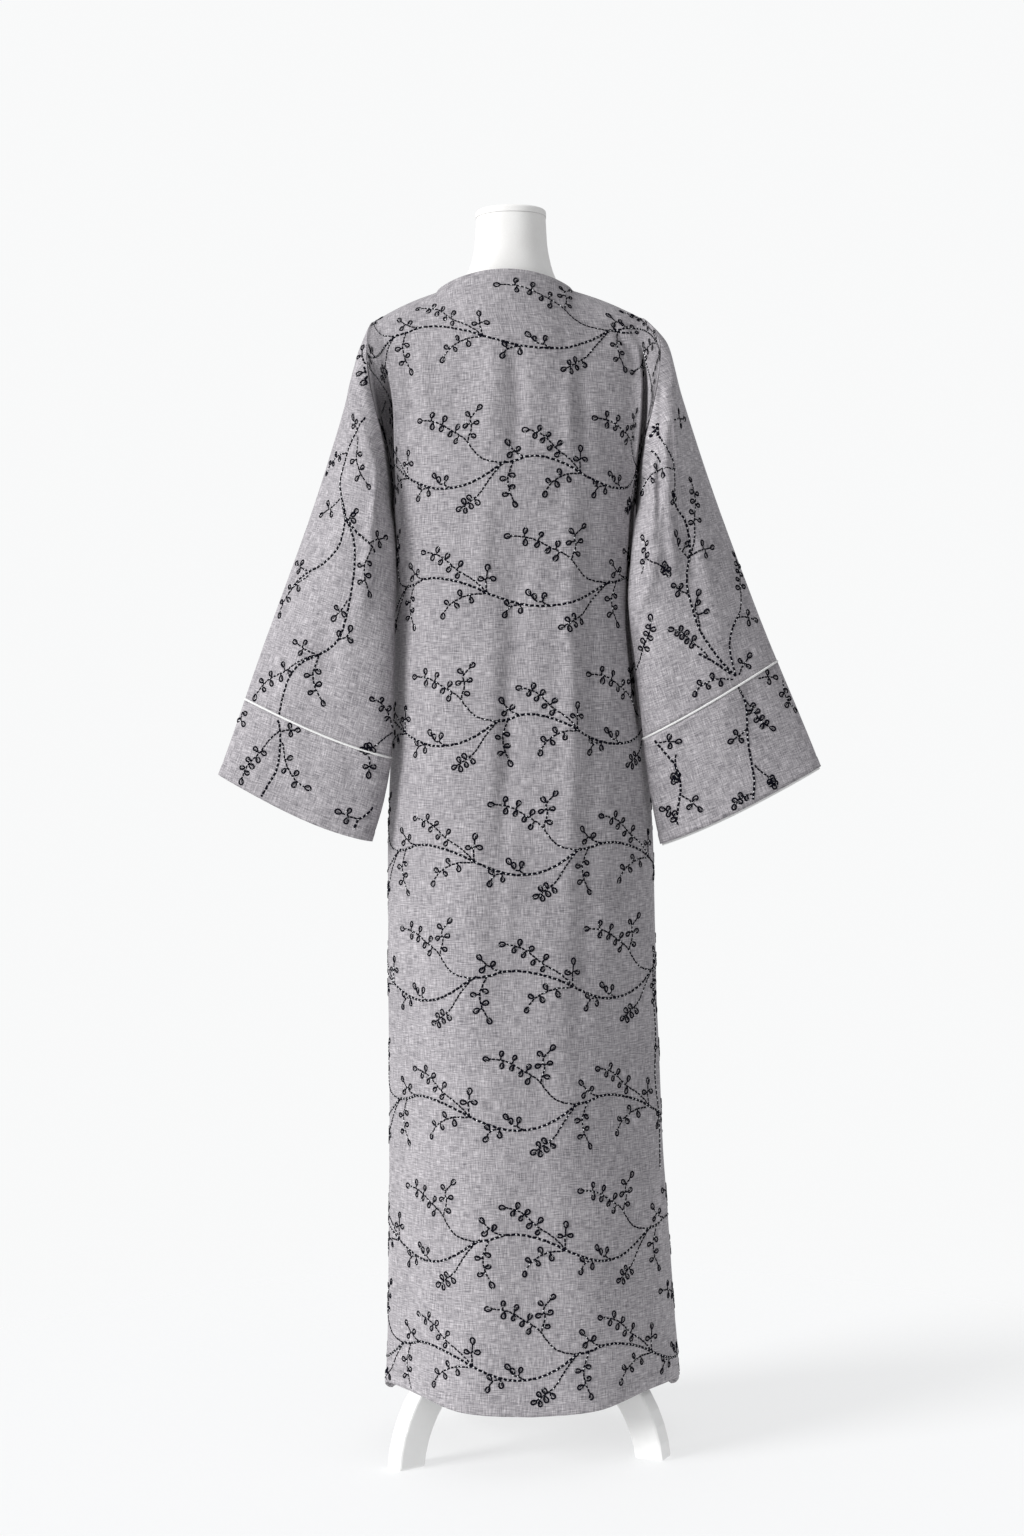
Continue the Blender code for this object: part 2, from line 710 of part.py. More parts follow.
def make_cuff(side):
    start = PIPING_PLACE[side] + length_share(side, PIPING_CLEARANCE)
    stations = [start + (1 - start) * step / CUFF_ROWS for step in range(CUFF_ROWS + 1)]
    outer = tube_grid(side, stations)
    inner = outer - WALL * tube_normals(outer)
    points, faces = sheet_solid(placed_grid(side, outer), placed_grid(side, inner), wraps=True)
    add_object("cuff_" + side, points, faces, "linen_cloth")


def make_piping(side):
    """A thin round cord in the seam between sleeve and cuff."""
    step = length_share(side, PIPING_STEP)
    place = PIPING_PLACE[side]
    grid = tube_grid(side, (place - step, place, place + step))
    normals = tube_normals(grid)[1]
    centres = grid[1] - PIPING_DEPTH * normals
    along = grid[2] - grid[0]
    along /= np.linalg.norm(along, axis=1, keepdims=True)
    rings = []
    for side_step in range(PIPING_SIDES):
        angle = 2 * math.pi * side_step / PIPING_SIDES
        rings.append(centres + PIPING_RADIUS * (math.cos(angle) * normals + math.sin(angle) * along))
    grid = placed_grid(side, np.array(rings))
    faces = []
    count = SLEEVE_AROUND
    for ring in range(PIPING_SIDES):
        after_ring = (ring + 1) % PIPING_SIDES
        for column in range(count):
            after = (column + 1) % count
            faces.append((ring * count + column, ring * count + after,
                          after_ring * count + after, after_ring * count + column))
    add_object("piping_" + side, grid.reshape(-1, 3), faces, "white_piping")


def make_edging(side):
    """The white strip inside a cuff that shows just below its edge."""
    top = 1 - length_share(side, EDGING_HEIGHT)
    below = length_share(side, EDGING_SHOW)
    inside = tube_grid(side, (top, 1.0))
    normals = tube_normals(inside)
    step = (inside[1] - inside[0]) / (1 - top) * below
    grid = np.array([inside[0], inside[1] + step])
    outer = grid - (WALL + EDGING_GAP) * normals
    inner = outer - EDGING_WALL * normals
    points, faces = sheet_solid(placed_grid(side, outer), placed_grid(side, inner), wraps=True)
    add_object("cuff_edging_" + side, points, faces, "white_piping")


# Dress form and stand

def torso_ring(height, grow=0.0):
    """Level ring of the dress form, wider at the back or front as its depths say."""
    half_width = float(TORSO.at("half_width", height)) + grow
    lean = float(FORM_LEAN.at("left", height))
    power = 2 / TORSO_ROUNDNESS
    ring = []
    for step in range(TORSO_AROUND):
        turn = 2 * math.pi * step / TORSO_AROUND
        depth_name = "back_depth" if math.sin(turn) >= 0 else "front_depth"
        depth = float(TORSO.at(depth_name, height)) + grow
        out = half_width * math.copysign(abs(math.cos(turn)) ** power, math.cos(turn))
        back = depth * math.copysign(abs(math.sin(turn)) ** power, math.sin(turn))
        ring.append((lean + out, back, height))
    return ring


def lofted_body(rings):
    """A closed solid over level rings with flat ends."""
    points = [point for ring in rings for point in ring]
    count = len(rings[0])
    faces = grid_faces(len(rings), count, 0, wraps=True)
    faces.append(tuple(range(count)))
    faces.append(tuple(range(len(points) - count, len(points))))
    return points, faces


def make_form():
    rings = [torso_ring(height) for height in TORSO.keys]
    points, faces = lofted_body(rings)
    add_object("form_torso", points, faces, "form_cover")
    top = float(TORSO.keys[-1])
    levels = [
        (top + FORM_GAP, CAP_OVERHANG),
        (CAP_TOP_HEIGHT - CAP_ROUNDING, CAP_OVERHANG),
        (CAP_TOP_HEIGHT - (1 - CAP_CORNER_UP) * CAP_ROUNDING, CAP_OVERHANG - CAP_CORNER_IN * CAP_ROUNDING),
        (CAP_TOP_HEIGHT, CAP_OVERHANG - CAP_ROUNDING),
    ]
    cap = []
    for height, grow in levels:
        cap.append([(out, back, height) for out, back, _ in torso_ring(top, grow)])
    points, faces = lofted_body(cap)
    add_object("neck_cap", points, faces, "form_cover")


def add_prism(name, radius, sides, turn, bottom, top, slot):
    rings = []
    for height in (bottom, top):
        ring = []
        for step in range(sides):
            angle = turn + 2 * math.pi * step / sides
            ring.append((POLE_LEFT + radius * math.sin(angle), POLE_BACK + radius * math.cos(angle), height))
        rings.append(ring)
    points, faces = lofted_body(rings)
    return add_object(name, points, faces, slot)


def make_pole_and_hub():
    torso_bottom = float(TORSO.keys[0])
    add_prism("pole", POLE_RADIUS, POLE_SIDES, 0.0, HUB_TOP + FORM_GAP, torso_bottom - FORM_GAP, "white_metal")
    corner = HUB_APOTHEM / math.cos(math.pi / 6)
    turn = math.radians(LEG_TURN["leg_1"]) + math.pi / 6
    hub = add_prism("hub", corner, 6, turn, HUB_BOTTOM, HUB_TOP, "white_wood")
    soften(hub, HUB_EDGE)


def soften(thing, width):
    """Round the sharp edges of a piece of wood."""
    bevel = thing.modifiers.new("soft_edges", "BEVEL")
    bevel.width = width * METRES
    bevel.segments = 2
    bevel.limit_method = "ANGLE"
    bevel.angle_limit = math.radians(WOOD_EDGE_ANGLE)


def leg_arc(radius, hub_reach):
    """Reach and height along one edge of a leg, from the hub down to the floor."""
    start = math.acos((hub_reach - LEG_CENTRE_REACH) / radius)
    end = math.asin(-LEG_CENTRE_HEIGHT / radius)
    arc = []
    for step in range(LEG_STEPS + 1):
        angle = start + (end - start) * step / LEG_STEPS
        arc.append((LEG_CENTRE_REACH + radius * math.cos(angle), LEG_CENTRE_HEIGHT + radius * math.sin(angle)))
    return arc


def make_leg(name):
    hub_reach = HUB_APOTHEM + FORM_GAP
    outer = leg_arc(LEG_RADIUS + LEG_DEPTH / 2, hub_reach)
    inner = leg_arc(LEG_RADIUS - LEG_DEPTH / 2, hub_reach)
    turn = math.radians(LEG_TURN[name])
    ahead = np.array([math.sin(turn), math.cos(turn), 0.0])
    aside = np.array([math.cos(turn), -math.sin(turn), 0.0])
    up = np.array([0.0, 0.0, 1.0])
    middle = np.array([POLE_LEFT, POLE_BACK, 0.0])
    points = []
    for reach_outer, reach_inner in zip(outer, inner):
        corners = ((reach_outer, 1), (reach_outer, -1), (reach_inner, -1), (reach_inner, 1))
        for (reach, height), sense in corners:
            points.append(middle + reach * ahead + height * up + sense * LEG_WIDTH / 2 * aside)
    faces = grid_faces(LEG_STEPS + 1, 4, 0, wraps=True)
    faces.append((0, 1, 2, 3))
    last = 4 * LEG_STEPS
    faces.append((last, last + 1, last + 2, last + 3))
    leg = add_object(name, points, faces, "white_wood")
    soften(leg, LEG_EDGE)


def main():
    clear_scene()
    make_body()
    for side in ("left", "right"):
        make_sleeve(side)
        make_cuff(side)
        make_piping(side)
    make_edging("right")
    make_form()
    make_pole_and_hub()
    for name in LEG_TURN:
        make_leg(name)


main()
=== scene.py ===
"""Open-front abaya on a limbless dress form: cloth, embroidery, sewing and finishes.

The object's sizes are in millimetres and become metres when a piece is made. The studio's are in metres.
+Z is up, +X is the wearer's left, the open front faces -Y, and the camera stands behind the garment.
"""

import math

import bmesh
import bpy
import numpy as np
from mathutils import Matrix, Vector


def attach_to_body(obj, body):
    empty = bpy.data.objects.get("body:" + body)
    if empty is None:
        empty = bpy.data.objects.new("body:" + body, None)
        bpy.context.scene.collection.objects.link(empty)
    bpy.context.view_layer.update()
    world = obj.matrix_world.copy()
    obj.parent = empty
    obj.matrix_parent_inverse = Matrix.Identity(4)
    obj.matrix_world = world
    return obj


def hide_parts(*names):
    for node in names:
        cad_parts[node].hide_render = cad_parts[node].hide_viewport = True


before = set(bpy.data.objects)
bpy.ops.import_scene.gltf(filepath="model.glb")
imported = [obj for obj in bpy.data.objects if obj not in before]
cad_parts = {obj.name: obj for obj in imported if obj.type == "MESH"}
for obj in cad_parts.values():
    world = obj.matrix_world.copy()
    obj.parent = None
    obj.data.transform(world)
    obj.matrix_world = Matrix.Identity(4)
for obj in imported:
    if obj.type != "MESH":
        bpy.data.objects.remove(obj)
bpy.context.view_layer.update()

METRES = 0.001

# The shapes are written round the dress form's axis, which lies this far behind the frame's middle
BODY_BACK = 10.6

# Cloth and its cut edges
CLOTH_THICKNESS = 1.1
SEAM_GAP = 0.4
ARMHOLE_GAP = 0.6
SECTION_ROUNDNESS = 2.3
TURN_HEIGHT = 1000.0
UNDERARM_HEIGHT = 1155.0
TIP_HEIGHT = 1389.0
CUFF_OUTER_HEIGHT = 831.0
CUFF_INNER_HEIGHT = {"left": 747.0, "right": 739.0}

# Neckline, shoulder and armhole
NECK_HALF_WIDTH = 84.0
NECK_BACK_DEPTH = 58.0
NECK_BACK_HEIGHT = 1442.0
NECK_POINT_HEIGHT = 1425.0
NECK_DROP_POWER = 2.0
NECK_FRONT_POWER = 2.2
NECK_FRONT_ROUNDING = 0.9
NECK_FRONT_HEIGHT = 1352.0
NECK_FRONT_DEPTH = 104.0
SHOULDER_TIP = 167.0
SHOULDER_BOW = 3.0
ARMHOLE_HALF_DEPTH = 60.0

# Sleeves, cuffs and piping
PIPING_PLACE = {"left": 0.8344, "right": 0.7676}
INNER_LAG = {"left": 1.585, "right": 1.4}
CUFF_EDGE_BOW = {"left": 8.5, "right": 4.5}
CUFF_EDGE_SKEW = 0.35
PIPING_RADIUS = 1.4
PIPING_DEPTH = 0.1
PIPING_CLEARANCE = 1.3
EDGING_WALL = 0.8
EDGING_GAP = 0.9
EDGING_HEIGHT = 14.0
EDGING_SHOW = 2.5


class Table:
    """Rows of sizes, read as smooth curves over the first column."""

    def __init__(self, columns, rows):
        ordered = sorted(rows)
        self.keys = np.array([row[0] for row in ordered], dtype=float)
        self.curves = {}
        for place, name in enumerate(columns[1:], start=1):
            values = np.array([row[place] for row in ordered], dtype=float)
            self.curves[name] = (values, even_slopes(self.keys, values))

    def at(self, name, key):
        values, slopes = self.curves[name]
        keys = self.keys
        key = np.clip(key, keys[0], keys[-1])
        low = np.clip(np.searchsorted(keys, key) - 1, 0, len(keys) - 2)
        step = keys[low + 1] - keys[low]
        part = (key - keys[low]) / step
        rest = 1.0 - part
        ends = rest * rest * (1 + 2 * part) * values[low] + part * part * (3 - 2 * part) * values[low + 1]
        bends = rest * rest * part * slopes[low] - part * part * rest * slopes[low + 1]
        return ends + step * bends


def even_slopes(keys, values):
    """Slopes that keep a curve between its neighbouring points."""
    rates = np.diff(values) / np.diff(keys)
    slopes = np.zeros(len(values))
    slopes[0] = rates[0]
    slopes[-1] = rates[-1]
    before = rates[:-1]
    after = rates[1:]
    same_way = before * after > 0
    total = np.where(same_way, before + after, 1.0)
    slopes[1:-1] = np.where(same_way, 2 * before * after / total, 0.0)
    return slopes


# The body's level sections, the hem's heights round it, and how far cloth and form lean to the left
BODY = Table(("height", "half_width", "back_depth", "front_depth", "front_edge"), [
    (20, 183, 165, 151, 46), (75, 181, 161, 148, 45), (174, 175.5, 155, 143, 43), (298, 171, 148, 138, 41),
    (422, 167.5, 141, 134, 39), (546, 165.5, 134, 130, 37.5), (720, 164.5, 125, 127, 36),
    (800, 162, 120.5, 125, 35.5), (849, 159, 118, 124, 35), (923, 154, 114, 122.5, 35),
    (1000, 150.5, 111, 121.5, 35), (1060, 149, 110.5, 121, 35)])
HEM = Table(("place", "height"), [
    (0, 72), (0.25, 77), (0.5, 87), (0.75, 90), (0.9, 84), (1, 72), (1.1, 62), (1.25, 54), (1.6, 44),
    (2, 42)])
CLOTH_LEAN = Table(("height", "left"), [
    (75, -4.5), (120, -6), (174, -5), (298, -3), (422, -1.5), (546, 0), (850, 0), (1000, 2.5), (1155, 1),
    (1350, 0), (1390, 7), (1416, 9.5), (1430, 10.5)])
FORM_LEAN = Table(("height", "left"), [
    (1000, 1.5), (1155, 1), (1350, 0), (1390, 7), (1410, 9), (1418, 9), (1434, 5), (1460, 2), (1515, 1)])
ARMHOLE = Table(("height", "out"), [
    (1155, 148), (1190, 150.5), (1230, 158), (1275, 169), (1310, 176), (1345, 179.5), (1370, 176),
    (1389, 167)])
# How the yoke's curves arrive at its top edge: their heading there and how strongly it holds
LEAVE = {
    "back": Table(("place", "out", "back", "up", "length"), [
        (0, 0, -0.6, 0.8, 210), (0.2, 0.05, -0.72, 0.66, 230), (0.3, 0.1, -0.92, 0.32, 265),
        (0.36, 0.1, -0.98, 0.12, 280), (0.5, 0.1, -0.99, 0.05, 260), (0.62, 0.15, -0.98, 0.05, 200),
        (0.7, 0.4, -0.7, 0.6, 140), (0.81, 0.48, -0.18, 0.86, 120), (0.88, 0.42, 0, 0.9, 110),
        (0.94, 0.22, 0.08, 0.97, 90), (1, 0.04, 0, 1, 70)]),
    "front": Table(("place", "out", "back", "up", "length"), [
        (0, 0, -0.3, 0.95, 150), (0.16, 0.08, -0.5, 0.85, 190), (0.24, 0.12, -0.84, 0.5, 240),
        (0.3, 0.12, -0.98, 0.14, 280), (0.46, 0.12, -0.99, 0.05, 260), (0.6, 0.15, -0.98, 0.05, 200),
        (0.69, 0.4, -0.7, 0.6, 140), (0.8, 0.48, -0.18, 0.86, 120), (0.88, 0.42, 0, 0.9, 110),
        (0.94, 0.22, 0.08, 0.97, 90), (1, 0.04, 0, 1, 70)])}
RISE_LENGTH = Table(("place", "share"), [(0, 1.5), (0.4, 1.6), (0.62, 1.45), (0.8, 1.1), (1, 1)])
TOP_ENDS = {"back": (0.36, 0.62), "front": (0.3, 0.6)}

# Long soft folds of the body: place across the panel, half width, depth at the hem, fading height
BODY_FOLDS = {
    "back": [
        (-0.86, 0.09, 4, 900), (-0.56, 0.13, -6, 1120), (-0.24, 0.15, 7, 1250), (0.02, 0.1, -4, 1330),
        (0.26, 0.16, 7, 1200), (0.6, 0.13, -4.5, 1050), (0.86, 0.09, 4, 820)],
    "front": [(0.18, 0.14, 7, 1000), (0.42, 0.12, -6, 1150), (0.66, 0.12, 7, 1080), (0.86, 0.08, -4, 860)]}
FOLD_HEIGHT_SHARE = 0.28
SLOPE_DROP = 20.0
SEAM_FADE_SHARE = 0.12
FOLD_START_RATE = 2.5
FOLD_BACKWARDS = 1.2

# The sleeves' outer and inner edges and their depth. Folds go by side, face, their places across where
# they start and end, where along the sleeve that is, their half width and their height
SLEEVE_OUTER = Table(("height", "out"), [
    (831, 369.5), (918, 336.5), (1042, 290), (1167, 245.5), (1292, 207), (1315, 200.5), (1340, 192.5),
    (1365, 183), (1380, 174), (1389, 167.4)])
SLEEVE_INNER = Table(("height", "left", "right"), [
    (739, 183.5, 170.5), (747, 181, 168.5), (800, 165, 159), (849, 156, 152.5), (923, 151, 147),
    (997, 147.5, 142.5), (1050, 147.5, 144.5), (1094, 150, 149), (1130, 152.5, 152), (1150, 151, 151),
    (1155, 148.4, 148.4)])
SLEEVE_DEPTH = Table(("place", "outer_back", "inner_back", "half_depth", "crispness"), [
    (0, 0, 0, 60, 1), (0.06, 2, 10, 60.5, 1), (0.12, 5, 27, 58, 1), (0.25, 12, 46, 51, 1.05),
    (0.5, 24, 56, 41, 1.15), (0.75, 31, 57, 33, 1.25), (1, 34, 50, 27, 1.3)])
SLEEVE_FOLDS = [
    ("left", "back", -0.5, -0.35, 0.02, 0.62, 0.16, 7), ("left", "back", 0.25, 0.3, 0.3, 0.95, 0.22, 4),
    ("right", "back", -0.35, -0.62, 0.02, 0.4, 0.13, 7), ("right", "back", 0.12, -0.15, 0.02, 0.5, 0.14, 7),
    ("right", "back", 0.5, 0.35, 0.04, 0.75, 0.15, 4.5), ("left", "front", -0.3, -0.25, 0.05, 0.6, 0.18, 5),
    ("left", "front", 0.35, 0.3, 0.2, 0.9, 0.2, 4), ("right", "front", -0.25, -0.3, 0.05, 0.6, 0.18, 5),
    ("right", "front", 0.4, 0.3, 0.2, 0.9, 0.2, 4)]
ARMHOLE_FADE_SHARE = 0.22
EDGE_FADE_TURN = 0.5
FOLD_SWELL_POWER = 0.7

TORSO = Table(("height", "half_width", "back_depth", "front_depth"), [
    (762, 128, 80, 78), (768, 136, 87, 84), (785, 142, 92, 88), (830, 144, 95, 91), (900, 133, 88, 87),
    (975, 121, 78, 84), (1040, 122, 80, 92), (1110, 130, 86, 104), (1165, 135, 91, 107),
    (1230, 139, 92, 98), (1290, 144, 86, 85), (1335, 149, 74, 71), (1365, 152, 61, 59), (1380, 151, 53, 52),
    (1391, 142.5, 47, 45), (1401, 125, 43.5, 42), (1410, 105, 42, 41), (1417, 88, 42, 41),
    (1425, 73, 43, 41), (1434, 62, 44, 41.5), (1444, 55, 44.5, 42), (1460, 49, 44.5, 42),
    (1482, 45, 44, 42), (1515.2, 43, 43, 41)])
TORSO_ROUNDNESS = 2.15
CAP_TOP_HEIGHT = 1524.0
FORM_GAP = 0.3

# The sleeves' hang over the solids: a fuller inner edge on the back, and its place nearer the body
SLEEVE_HANG = {
    "left": Table(("along", "full", "inward", "behind", "under"), [
        (0, 0, 0, 0, 0), (0.07, 0, 2, 0, 3), (0.124, 1, 4.5, 0, 8), (0.163, 2, 6, 0, 12),
        (0.2, 2, 6.5, 0, 14), (0.26, 2, 6, 0, 14), (0.355, 3, 4, 0, 14), (0.46, 5, 1.5, 0, 12),
        (0.56, 7, 0, 0, 8), (0.8, 12, 0, 0, 3), (1, 8, 0, 0, 0)]),
    "right": Table(("along", "full", "inward", "behind", "under"), [
        (0, 0, 0, 0, 0), (0.07, 1, 3, 1, 0), (0.1, 2, 5, 3, 0), (0.134, 3, 7.5, 6, 0), (0.2, 4, 8, 9, 0),
        (0.305, 5, 7.5, 11, 0), (0.4, 6, 7, 11, 0), (0.44, 5, 5.5, 9, 0), (0.48, 3, 3.5, 5, 0),
        (0.52, 2, 1.5, 2, 0), (0.58, 2, 0, 0, 0), (1, 1, 0, 0, 0)])}
FULL_PLACE = 0.018
FULL_END = 0.65
FULL_POWER = 1.2
INWARD_REACH = 0.08
UNDER_REACH = 0.025

# How the cloth falls in beside an armhole and below it, as seen from behind: the middle of the slot, its
# depth, its half widths towards the body and the sleeve, and the ridge that the sleeve keeps beyond it
ARMHOLE_SLOT = {
    "left": Table(("height", "out", "depth", "body", "sleeve", "ridge"), [
        (1050, 147.5, 0, 2, 2.5, 0), (1084, 148, 12, 2, 2.5, 0), (1108, 149, 20, 2, 2.5, 0),
        (1142, 149.5, 26, 2.5, 3, 0), (1180, 150.5, 36, 4.4, 4.4, 4), (1228, 154, 50, 6.9, 6.9, 6),
        (1276, 158.6, 48, 10.9, 10.9, 6), (1294, 161, 34, 11.5, 11.5, 5), (1312, 163, 12, 11.5, 11.5, 3),
        (1335, 165, 0, 10, 10, 0)]),
    "right": Table(("height", "out", "depth", "body", "sleeve", "ridge"), [
        (868, 148, 0, 3.5, 3.5, 0), (898, 144.5, 16, 3.5, 3.5, 0), (934, 140, 24, 4, 4, 0),
        (970, 137.5, 26, 4, 4, 0), (1006, 135, 26, 4, 4, 0), (1060, 136.5, 26, 4, 4, 0),
        (1108, 140, 28, 4, 4, 0), (1150, 143, 30, 4.5, 4, 0), (1166, 147.5, 32, 5, 4, 2),
        (1204, 151.5, 34, 5.5, 4, 3), (1228, 155.2, 36, 5.5, 4, 4), (1276, 159.5, 32, 5.5, 4, 4),
        (1300, 160, 26, 5, 4, 3), (1320, 159, 14, 5, 4, 2), (1348, 156, 0, 4, 4, 0)])}
SLOT_EDGE = {"left": (3, 3), "right": (5, 3)}
SLOT_ROOM = 3.0
SLOT_SLEEVE_START = 1140.0
SLOT_SLEEVE_RISE = 12.0
RIDGE_PLACE = 8.0
RIDGE_HALF_WIDTH = 9.0
FRONT_SLOT_SHARE = 0.4
FINE_SEAM_STEPS = (4.0, 3.5, 3.0, 2.5, 2.0, 1.6, 1.2, 0.8, 0.4, 0.0)
SOFT_PASSES = 40
SOFT_START = 1.1
SOFT_RISE = 0.2
SOFT_COLUMN = 14
SOFT_COLUMNS = 16

# Relief of pressed, hung linen. Creases go by their ends as seen from behind, left and up, then half
# width and height
CREASE_SWELL_POWER = 0.8
CREASE_WANDER = 0.35
LENGTHWISE_STRETCH = 0.55
WANDER_CELL = 40.0
SLEEVE_WANDER_CELL = 30.0
UNEVENNESS = ((70.0, 0.9), (26.0, 0.35), (9.0, 0.10))
UNEVENNESS_START = 997.0
EDGE_CALM = 24.0
FOLD_CALM = 0.35
SEAM_CALM_START = 0.15
HEM_WIDTH = 16.0
CUFF_HEM_WIDTH = 14.0
FACING_WIDTH = 22.0
NECK_STITCH_DEPTH = 7.0
HEM_HEIGHT = 0.35
HEM_STEP = 3.0
HEM_PINCH = 0.45
HEM_PINCH_WIDTH = 1.6
BACK_CREASES = [
    (126, 1338, 128, 1240, 8, -4), (109, 1352, 109, 1232, 9, 3), (71, 1310, 71, 1215, 9, -3.5),
    (130, 1140, 130, 980, 9, -3.5), (28, 1360, 27, 1200, 13, 4.2), (-2, 1352, -2, 1196, 9, -4.8),
    (-66, 1320, -66, 1200, 9, 3.2), (-84, 1326, -84, 1204, 9, -3.8), (37, 1178, 37, 1030, 13, 4.6),
    (-2, 1112, 3, 912, 13, -4.6), (-64, 1185, -61, 735, 12, 5.4), (-89, 1195, -85, 735, 13, -5.4),
    (31, 1025, 33, 728, 14, 3.8), (14, 990, 17, 730, 10, -4.2), (18, 716, 18, 606, 6, 1.8),
    (-71, 745, -66, 365, 14, -3), (26, 780, 24, -60, 50, 9), (-88, 780, -90, -60, 42, -9),
    (62, 800, 60, 440, 22, 4.5), (11, 815, 11, 675, 9, 2.4), (-83, 850, -84, 540, 15, -4.4),
    (-60, 790, -60, 610, 11, 2.6), (-119, 1374, -152, 1322, 3.5, -3.2), (-127, 1380, -161, 1328, 5, 2.4),
    (-110, 1300, -118, 1200, 10, -2.4), (-25, 1292, -24, 1178, 1.6, -1.4), (80, 650, -66, 636, 2.6, 0.9),
    (50, 662, -30, 655, 2, -0.6), (10, 320, -62, 334, 2.4, 0.8)]
FRONT_CREASES = {
    "left": [
        (60, 1250, 52, 900, 14, 2.8), (95, 1180, 100, 700, 12, -2.8), (44, 820, 48, 300, 11, 2.2),
        (122, 900, 126, 380, 12, 2.4), (148, 1225, 108, 1292, 7, 2.6), (146, 1196, 95, 1240, 6, -2.2),
        (52, 640, 118, 648, 3, 0.8)],
    "right": [
        (-64, 1230, -58, 860, 13, 2.6), (-98, 1160, -94, 660, 12, -2.8), (-50, 860, -46, 340, 11, 2.4),
        (-124, 860, -130, 340, 12, 2.2), (-147, 1222, -104, 1296, 7, 2.8), (-145, 1192, -98, 1232, 6, -2.4),
        (-50, 310, -116, 302, 3, 0.8)]}
SLEEVE_CREASES = {
    "left": {
        "back": [
            (228, 1090, 240, 915, 11, -2.4), (209, 1045, 203, 900, 12, 2.2), (262, 1010, 282, 880, 10, 1.8),
            (196, 1330, 204, 1215, 7, 2), (214, 905, 196, 800, 12, -2.6), (275, 905, 300, 815, 10, -1.6)],
        "front": [
            (186, 1310, 176, 1190, 7, 3.4), (200, 1270, 205, 1100, 9, -2.6), (214, 1060, 232, 880, 12, 2.4),
            (250, 1000, 280, 840, 12, -2.2)]},
    "right": {
        "back": [
            (-163, 1358, -187, 1280, 6, 4), (-184, 1298, -193, 1188, 7, 5),
            (-192, 1216, -166, 1075, 8, 4.5), (-172, 1104, -150, 1022, 8, 4),
            (-166, 1336, -179, 1245, 4.5, -5), (-159, 1324, -168, 1240, 4, 3),
            (-205, 1190, -212, 1060, 9, -3), (-191, 985, -207, 800, 12, -2.4),
            (-222, 1015, -262, 832, 15, 2.2), (-262, 990, -296, 860, 10, -1.8)],
        "front": [
            (-180, 1318, -174, 1196, 7, 3.2), (-198, 1280, -206, 1110, 9, -2.8),
            (-210, 1040, -236, 870, 12, 2.6), (-252, 1010, -284, 850, 12, -2)]}}

# Finishes. A noise of the linen goes by its scales across and along the flat cloth per metre, its detail
# and its roughness, a spread by the ends it takes and gives, and a bump by its depth and strength
LINEN_STOPS = [(0.0, (0.122, 0.117, 0.130)), (0.5, (0.332, 0.316, 0.333)), (1.0, (0.64, 0.612, 0.635))]
# Against the light the hanging sleeves look a little lighter than the body, which has the form behind it.
# That light is painted into the colour of the sleeves and cuffs as a lighter copy of the linen.
SLEEVE_PAINTED_LIGHTER = 1.1
LINEN_NOISES = {
    "weft": ((75.0, 900.0), 2.0, 0.6), "warp": ((980.0, 70.0), 2.0, 0.6), "slub": ((60.0, 900.0), 1.0, 0.5),
    "fleck": ((900.0, 48.0), 1.0, 0.5), "mottle": ((21.0, 12.0), 3.0, 0.5),
    "fine_weft": ((380.0, 2400.0), 1.0, 0.5), "fine_warp": ((2400.0, 380.0), 1.0, 0.5)}
WEFT_SHARE = 1.05
WARP_SHARE = 0.95
SLUB_SPREAD = (0.60, 0.70, 0.0, 0.12)
MOTTLE_SPREAD = (0.25, 0.75, -0.05, 0.05)
LINEN_SPREAD = (0.64, 1.36, 0.0, 1.0)
LINEN_BUMP = (0.00035, 0.7)
LINEN_BUMP_THREADS = 0.8
LINEN_SURFACE = {"Roughness": 0.92, "Sheen Weight": 0.12, "Specular IOR Level": 0.25}
JERSEY_STOPS = [(0.25, (0.84, 0.83, 0.81)), (0.7, (0.92, 0.915, 0.90))]
JERSEY_SPREAD = (0.3, 0.7, -0.15, 0.15)
JERSEY_BUMP = (0.0003, 0.5)
JERSEY_ROW_STRETCH = 6.0
JERSEY_SURFACE = {"Roughness": 0.85, "Sheen Weight": 0.2}
SOIL_SCALE = (22.0, 22.0)
# Knits: name, turn of the rows and their scale
JERSEY_COVER = ("jersey cover", 0.0, 420.0)
CAP_KNIT = ("cap knit", 0.9, 300.0)
CORD_WAVES = 520.0
CORD_DISTORTION = 0.6
CORD_STOPS = [(0.0, (0.86, 0.86, 0.85)), (0.6, (0.96, 0.96, 0.95))]
CORD_BUMP = (0.0003, 0.6)
CORD_SURFACE = {"Roughness": 0.65, "Sheen Weight": 0.1}

# Threads: the tone's noise scale and detail, its stops, the strands' noise scale where they have one of
# their own, the bump and the surface
THREADS = [
    ("navy thread", 420.0, 2.0, [(0.3, (0.001, 0.001, 0.004)), (0.7, (0.005, 0.005, 0.012))], 2600.0,
     (0.0002, 0.6), {"Roughness": 0.6, "Specular IOR Level": 0.05}),
    # Metal thread, partly real and partly painted highlight: its near-white tones stand in for the glints
    # it shows in the light
    ("silver thread with painted glints", 900.0, 1.0, [(0.35, (0.55, 0.56, 0.58)), (0.65, (0.95, 0.95, 0.96))], None,
     (0.0002, 0.5), {"Roughness": 0.35, "Metallic": 0.2}),
    ("grey sewing thread", 1500.0, 1.0, [(0.3, (0.14, 0.135, 0.14)), (0.7, (0.24, 0.23, 0.235))], None,
     (0.0001, 0.5), {"Roughness": 0.7})]

